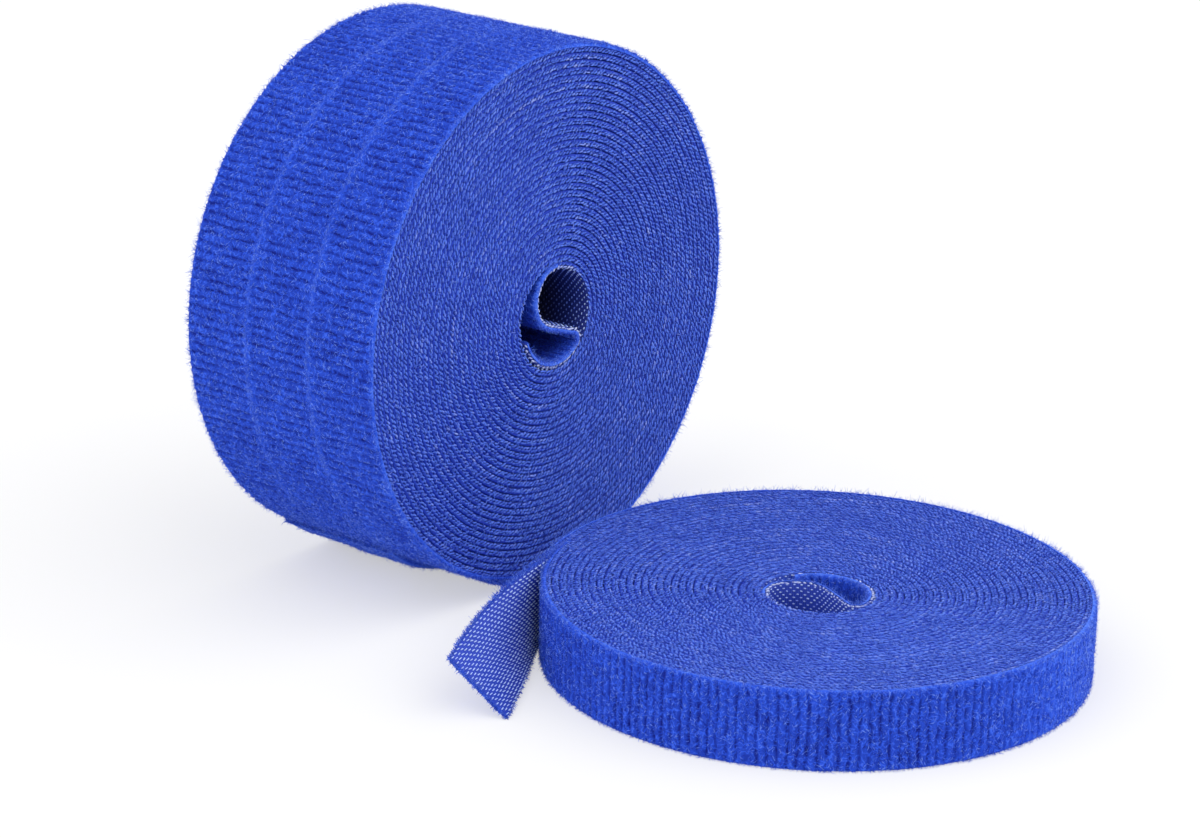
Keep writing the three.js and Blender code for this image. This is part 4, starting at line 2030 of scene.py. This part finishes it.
@dataclass
class TapeRollSet:
    """The set: three standing rolls with a short outer end each, and one lying roll with its tail.

    Attributes:
        pile_height: how far the outermost pile reaches past its webs.
        flap_lift: how far a standing roll's end stands off at its cut.
        flap_power: power of the distance that the end stands off by.
        flap_stations: stations along that end.
        tail_lean: angle that the tail's top edge leans out by at its cut.
        tail_bend_radius: radius of the bend that the tail keeps from the roll.
        tail_length: length of the tail.
        tail_stations: stations along the tail.
        tail_split: length of the tail that follows its first joint.
        root_bend: share of that length where the bend at its first joint is listed.
        tail_bend: distances past that length where the bend at its second joint is listed.
        cut_press: share of the tape's thickness that is left at a cut.
        cut_taper: length over which the tape thins towards a cut.
    """

    frame: dict
    pile_height: float = 0.35
    flap_lift: float = 0.3
    flap_power: float = 1.5
    flap_stations: int = 25
    tail_lean: float = math.radians(47)
    tail_bend_radius: float = 380.0
    tail_length: float = 41.0
    tail_stations: int = 80
    tail_split: float = 12.0
    root_bend: float = 0.7
    tail_bend: tuple[float, float] = (5.0, 13.0)
    cut_press: float = 0.45
    cut_taper: float = 7.0

    def press(self, left: Array) -> Array:
        """Shares of the tape's thickness at distances left before its cut."""
        share = np.clip(left / self.cut_taper, 0.0, 1.0)
        return self.cut_press + (1 - self.cut_press) * eased(share)

    def joint(self, name: str) -> Array:
        """Place of a joint in millimetres."""
        found = next(joint for joint in self.frame["joints"] if joint["name"] == name)
        return np.array(found["pos_m"]) / MM

    @staticmethod
    def node_box(node: str) -> tuple[Array, Array]:
        """Lowest and highest corner of a node in millimetres."""
        low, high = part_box(node)
        return np.array(low) / MM, np.array(high) / MM

    def reach(self, roll: str, centre: Array, ways: tuple[int, int]) -> float:
        """Radius of a roll's outermost layer, under its pile.

        Args:
            roll: name of the roll.
            centre: point of its axis.
            ways: numbers of the two frame axes that it is wound in.

        Returns:
            The radius that its coil's box leaves for the layers.
        """
        low, high = self.node_box(f"{roll}_coil")
        outline = max(max(high[way] - centre[way], centre[way] - low[way]) for way in ways)
        return outline - self.pile_height

    def dress_standing(self, name: str, centre: Array, past_foot: float, flap: float,
                       open_edges: tuple[Edge, ...], seed: int) -> None:
        """Makes a roll of the stack.

        Args:
            name: name of the roll.
            centre: point of its axis at mid width.
            past_foot: angle that its last layer ends past its foot, in degrees.
            flap: length of its outer end past the last layer.
            open_edges: edges of its tape that face out of the stack.
            seed: seed of its random draws.
        """
        low, high = self.node_box(f"{name}_coil")
        plane = RollPlane(centre, np.array([1.0, 0, 0]), np.array([0, 0, -1.0]), np.array([0, 1.0, 0]))
        eye = EyeFold(spin=math.radians(180), shift=(1.0, 0.5), cut_angle=math.radians(340))
        roll = TapeRoll(
            name, plane, Tape(high[1] - low[1]), eye, whole_layers=30,
            end_angle=math.radians(90 + past_foot), reach=self.reach(name, centre, (0, 2)),
            open_edges=open_edges, eye_fade=4.5, eye_shade=0.45, layer_shade=0.7, felted=90.0, lint=1.3,
            seed=seed,
        )
        progress = np.linspace(0.0, 1.0, self.flap_stations)[1:]
        angle = roll.wound + progress * flap / roll.radius(roll.wound)
        point, ray = roll.layer_stations(angle)
        lifted = point + (self.flap_lift * progress ** self.flap_power)[:, None] * ray
        roll.wind(plane.path(lifted, ray, self.press(flap * (1 - progress))))
        pieces = roll.dress()
        nodes = (f"{name}_outer_end_hook_web", f"{name}_outer_end_loop_web")
        end = FreeEnd(roll, [Stretch("end", (0.0, flap), (name, f"{name}_end"), (0.0, flap / 2), nodes)])
        self.declare(roll, flap, pieces, end.dress())

    def dress_lying(self, name: str, centre: Array, seed: int) -> None:
        """Makes the lying roll with its tail.

        Args:
            name: name of the roll.
            centre: point of its axis at mid width.
            seed: seed of its random draws.
        """
        low, high = self.node_box(f"{name}_coil")
        plane = RollPlane(centre, np.array([1.0, 0, 0]), np.array([0, 1.0, 0]), np.array([0, 0, 1.0]))
        eye = EyeFold(spin=math.radians(46), shift=(-2.3, -2.3), cut_angle=math.radians(380))
        roll = TapeRoll(
            name, plane, Tape(high[2] - low[2]), eye, whole_layers=29,
            end_angle=math.radians(109), reach=self.reach(name, centre, (0, 1)),
            open_edges=tuple(Edge), eye_fade=14.0, eye_shade=0.8, layer_shade=0.9, felted=165.0, lint=2.6,
            seed=seed,
        )
        roll.wind(self.tail_path(roll))
        pieces = roll.dress()
        body = [name, f"{name}_tail_base", f"{name}_tail_tip"]
        split, length = self.tail_split, self.tail_length
        bend = (split + self.tail_bend[0], split + self.tail_bend[1])
        end = FreeEnd(roll, [
            Stretch("tail_root", (0.0, split), (body[0], body[1]), (0.0, self.root_bend * split),
                    (f"{body[1]}_hook_web", f"{body[1]}_loop_web")),
            Stretch("tail", (split, length), (body[1], body[2]), bend,
                    (f"{body[2]}_hook_web", f"{body[2]}_loop_web")),
        ])
        self.declare(roll, length, pieces, end.dress())

    def tail_path(self, roll: TapeRoll) -> TapePath:
        """Tail off the lying roll, with its top edge leaning out and its lower edge on the ground.

        Args:
            roll: the lying roll.

        Returns:
            The tail's path.
        """
        start, ray = roll.layer_stations(np.array([roll.wound]))
        root = roll.plane.path(start, ray)
        out, up = root.out[0], root.up[0]
        ahead = np.cross(up, out)
        distance = np.linspace(0.0, self.tail_length, self.tail_stations)[1:, None]
        bend = distance / self.tail_bend_radius
        bent_out = np.cos(bend) * out + np.sin(bend) * ahead
        point = root.point + self.tail_bend_radius * (bent_out - out)
        lean = self.tail_lean * eased(distance / self.tail_length)
        leaned_out = np.cos(lean) * bent_out - np.sin(lean) * up
        leaned_up = np.cos(lean) * up + np.sin(lean) * bent_out
        half = roll.tape.width / 2
        press = self.press(self.tail_length - distance)
        sink = half - half * np.cos(lean) - roll.pile_base * press * np.sin(lean)
        return TapePath(point - sink * up, leaned_out, leaned_up, press[:, 0])

    @staticmethod
    def declare(roll: TapeRoll, free: float, pieces: dict[str, bpy.types.Object],
                ends: list[bpy.types.Object]) -> None:
        """Sorts a roll's pieces by web and logs the length of its tape and the spacing of its layers.

        Args:
            roll: the roll.
            free: length of its free end.
            pieces: pieces of the roll.
            ends: pieces of its free end.
        """
        flat = (roll.tape.width * MM, (roll.coil_end + free) * MM)
        hook_side = [piece for piece in ends if "hook" in piece.name] + [pieces["eye_hooks"]]
        loop_side = [piece for piece in ends if "hook" not in piece.name]
        loop_names = ("packed_pile", "outer_nap", "outer_strands", "outer_fuzz", "eye_nap", "eye_fibres")
        loop_side += [pieces[name] for name in loop_names]
        log.info("%s: tape %.2f m long, layers %.3f mm apart", roll.name, flat[1], roll.pitch)

    def dress(self) -> None:
        """Makes every roll of the set."""
        front, rear = self.joint("front_roll_turn"), self.joint("rear_roll_turn")
        middle, lying = (front + rear) / 2, self.joint("lying_roll_turn")
        self.dress_standing("front_roll", front, past_foot=6, flap=9.5, open_edges=(Edge.LOW,), seed=100)
        self.dress_standing("middle_roll", middle, past_foot=14, flap=13.5, open_edges=(), seed=200)
        self.dress_standing("rear_roll", rear, past_foot=16, flap=10.0, open_edges=(Edge.HIGH,), seed=300)
        self.dress_lying("lying_roll", lying, seed=400)


def main() -> None:
    """Builds the set and its studio."""
    logging.basicConfig(level=logging.INFO, format="%(name)s: %(message)s")
    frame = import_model()
    Studio().build()
    TapeRollSet(frame).dress()


if __name__ == "__main__":
    main()
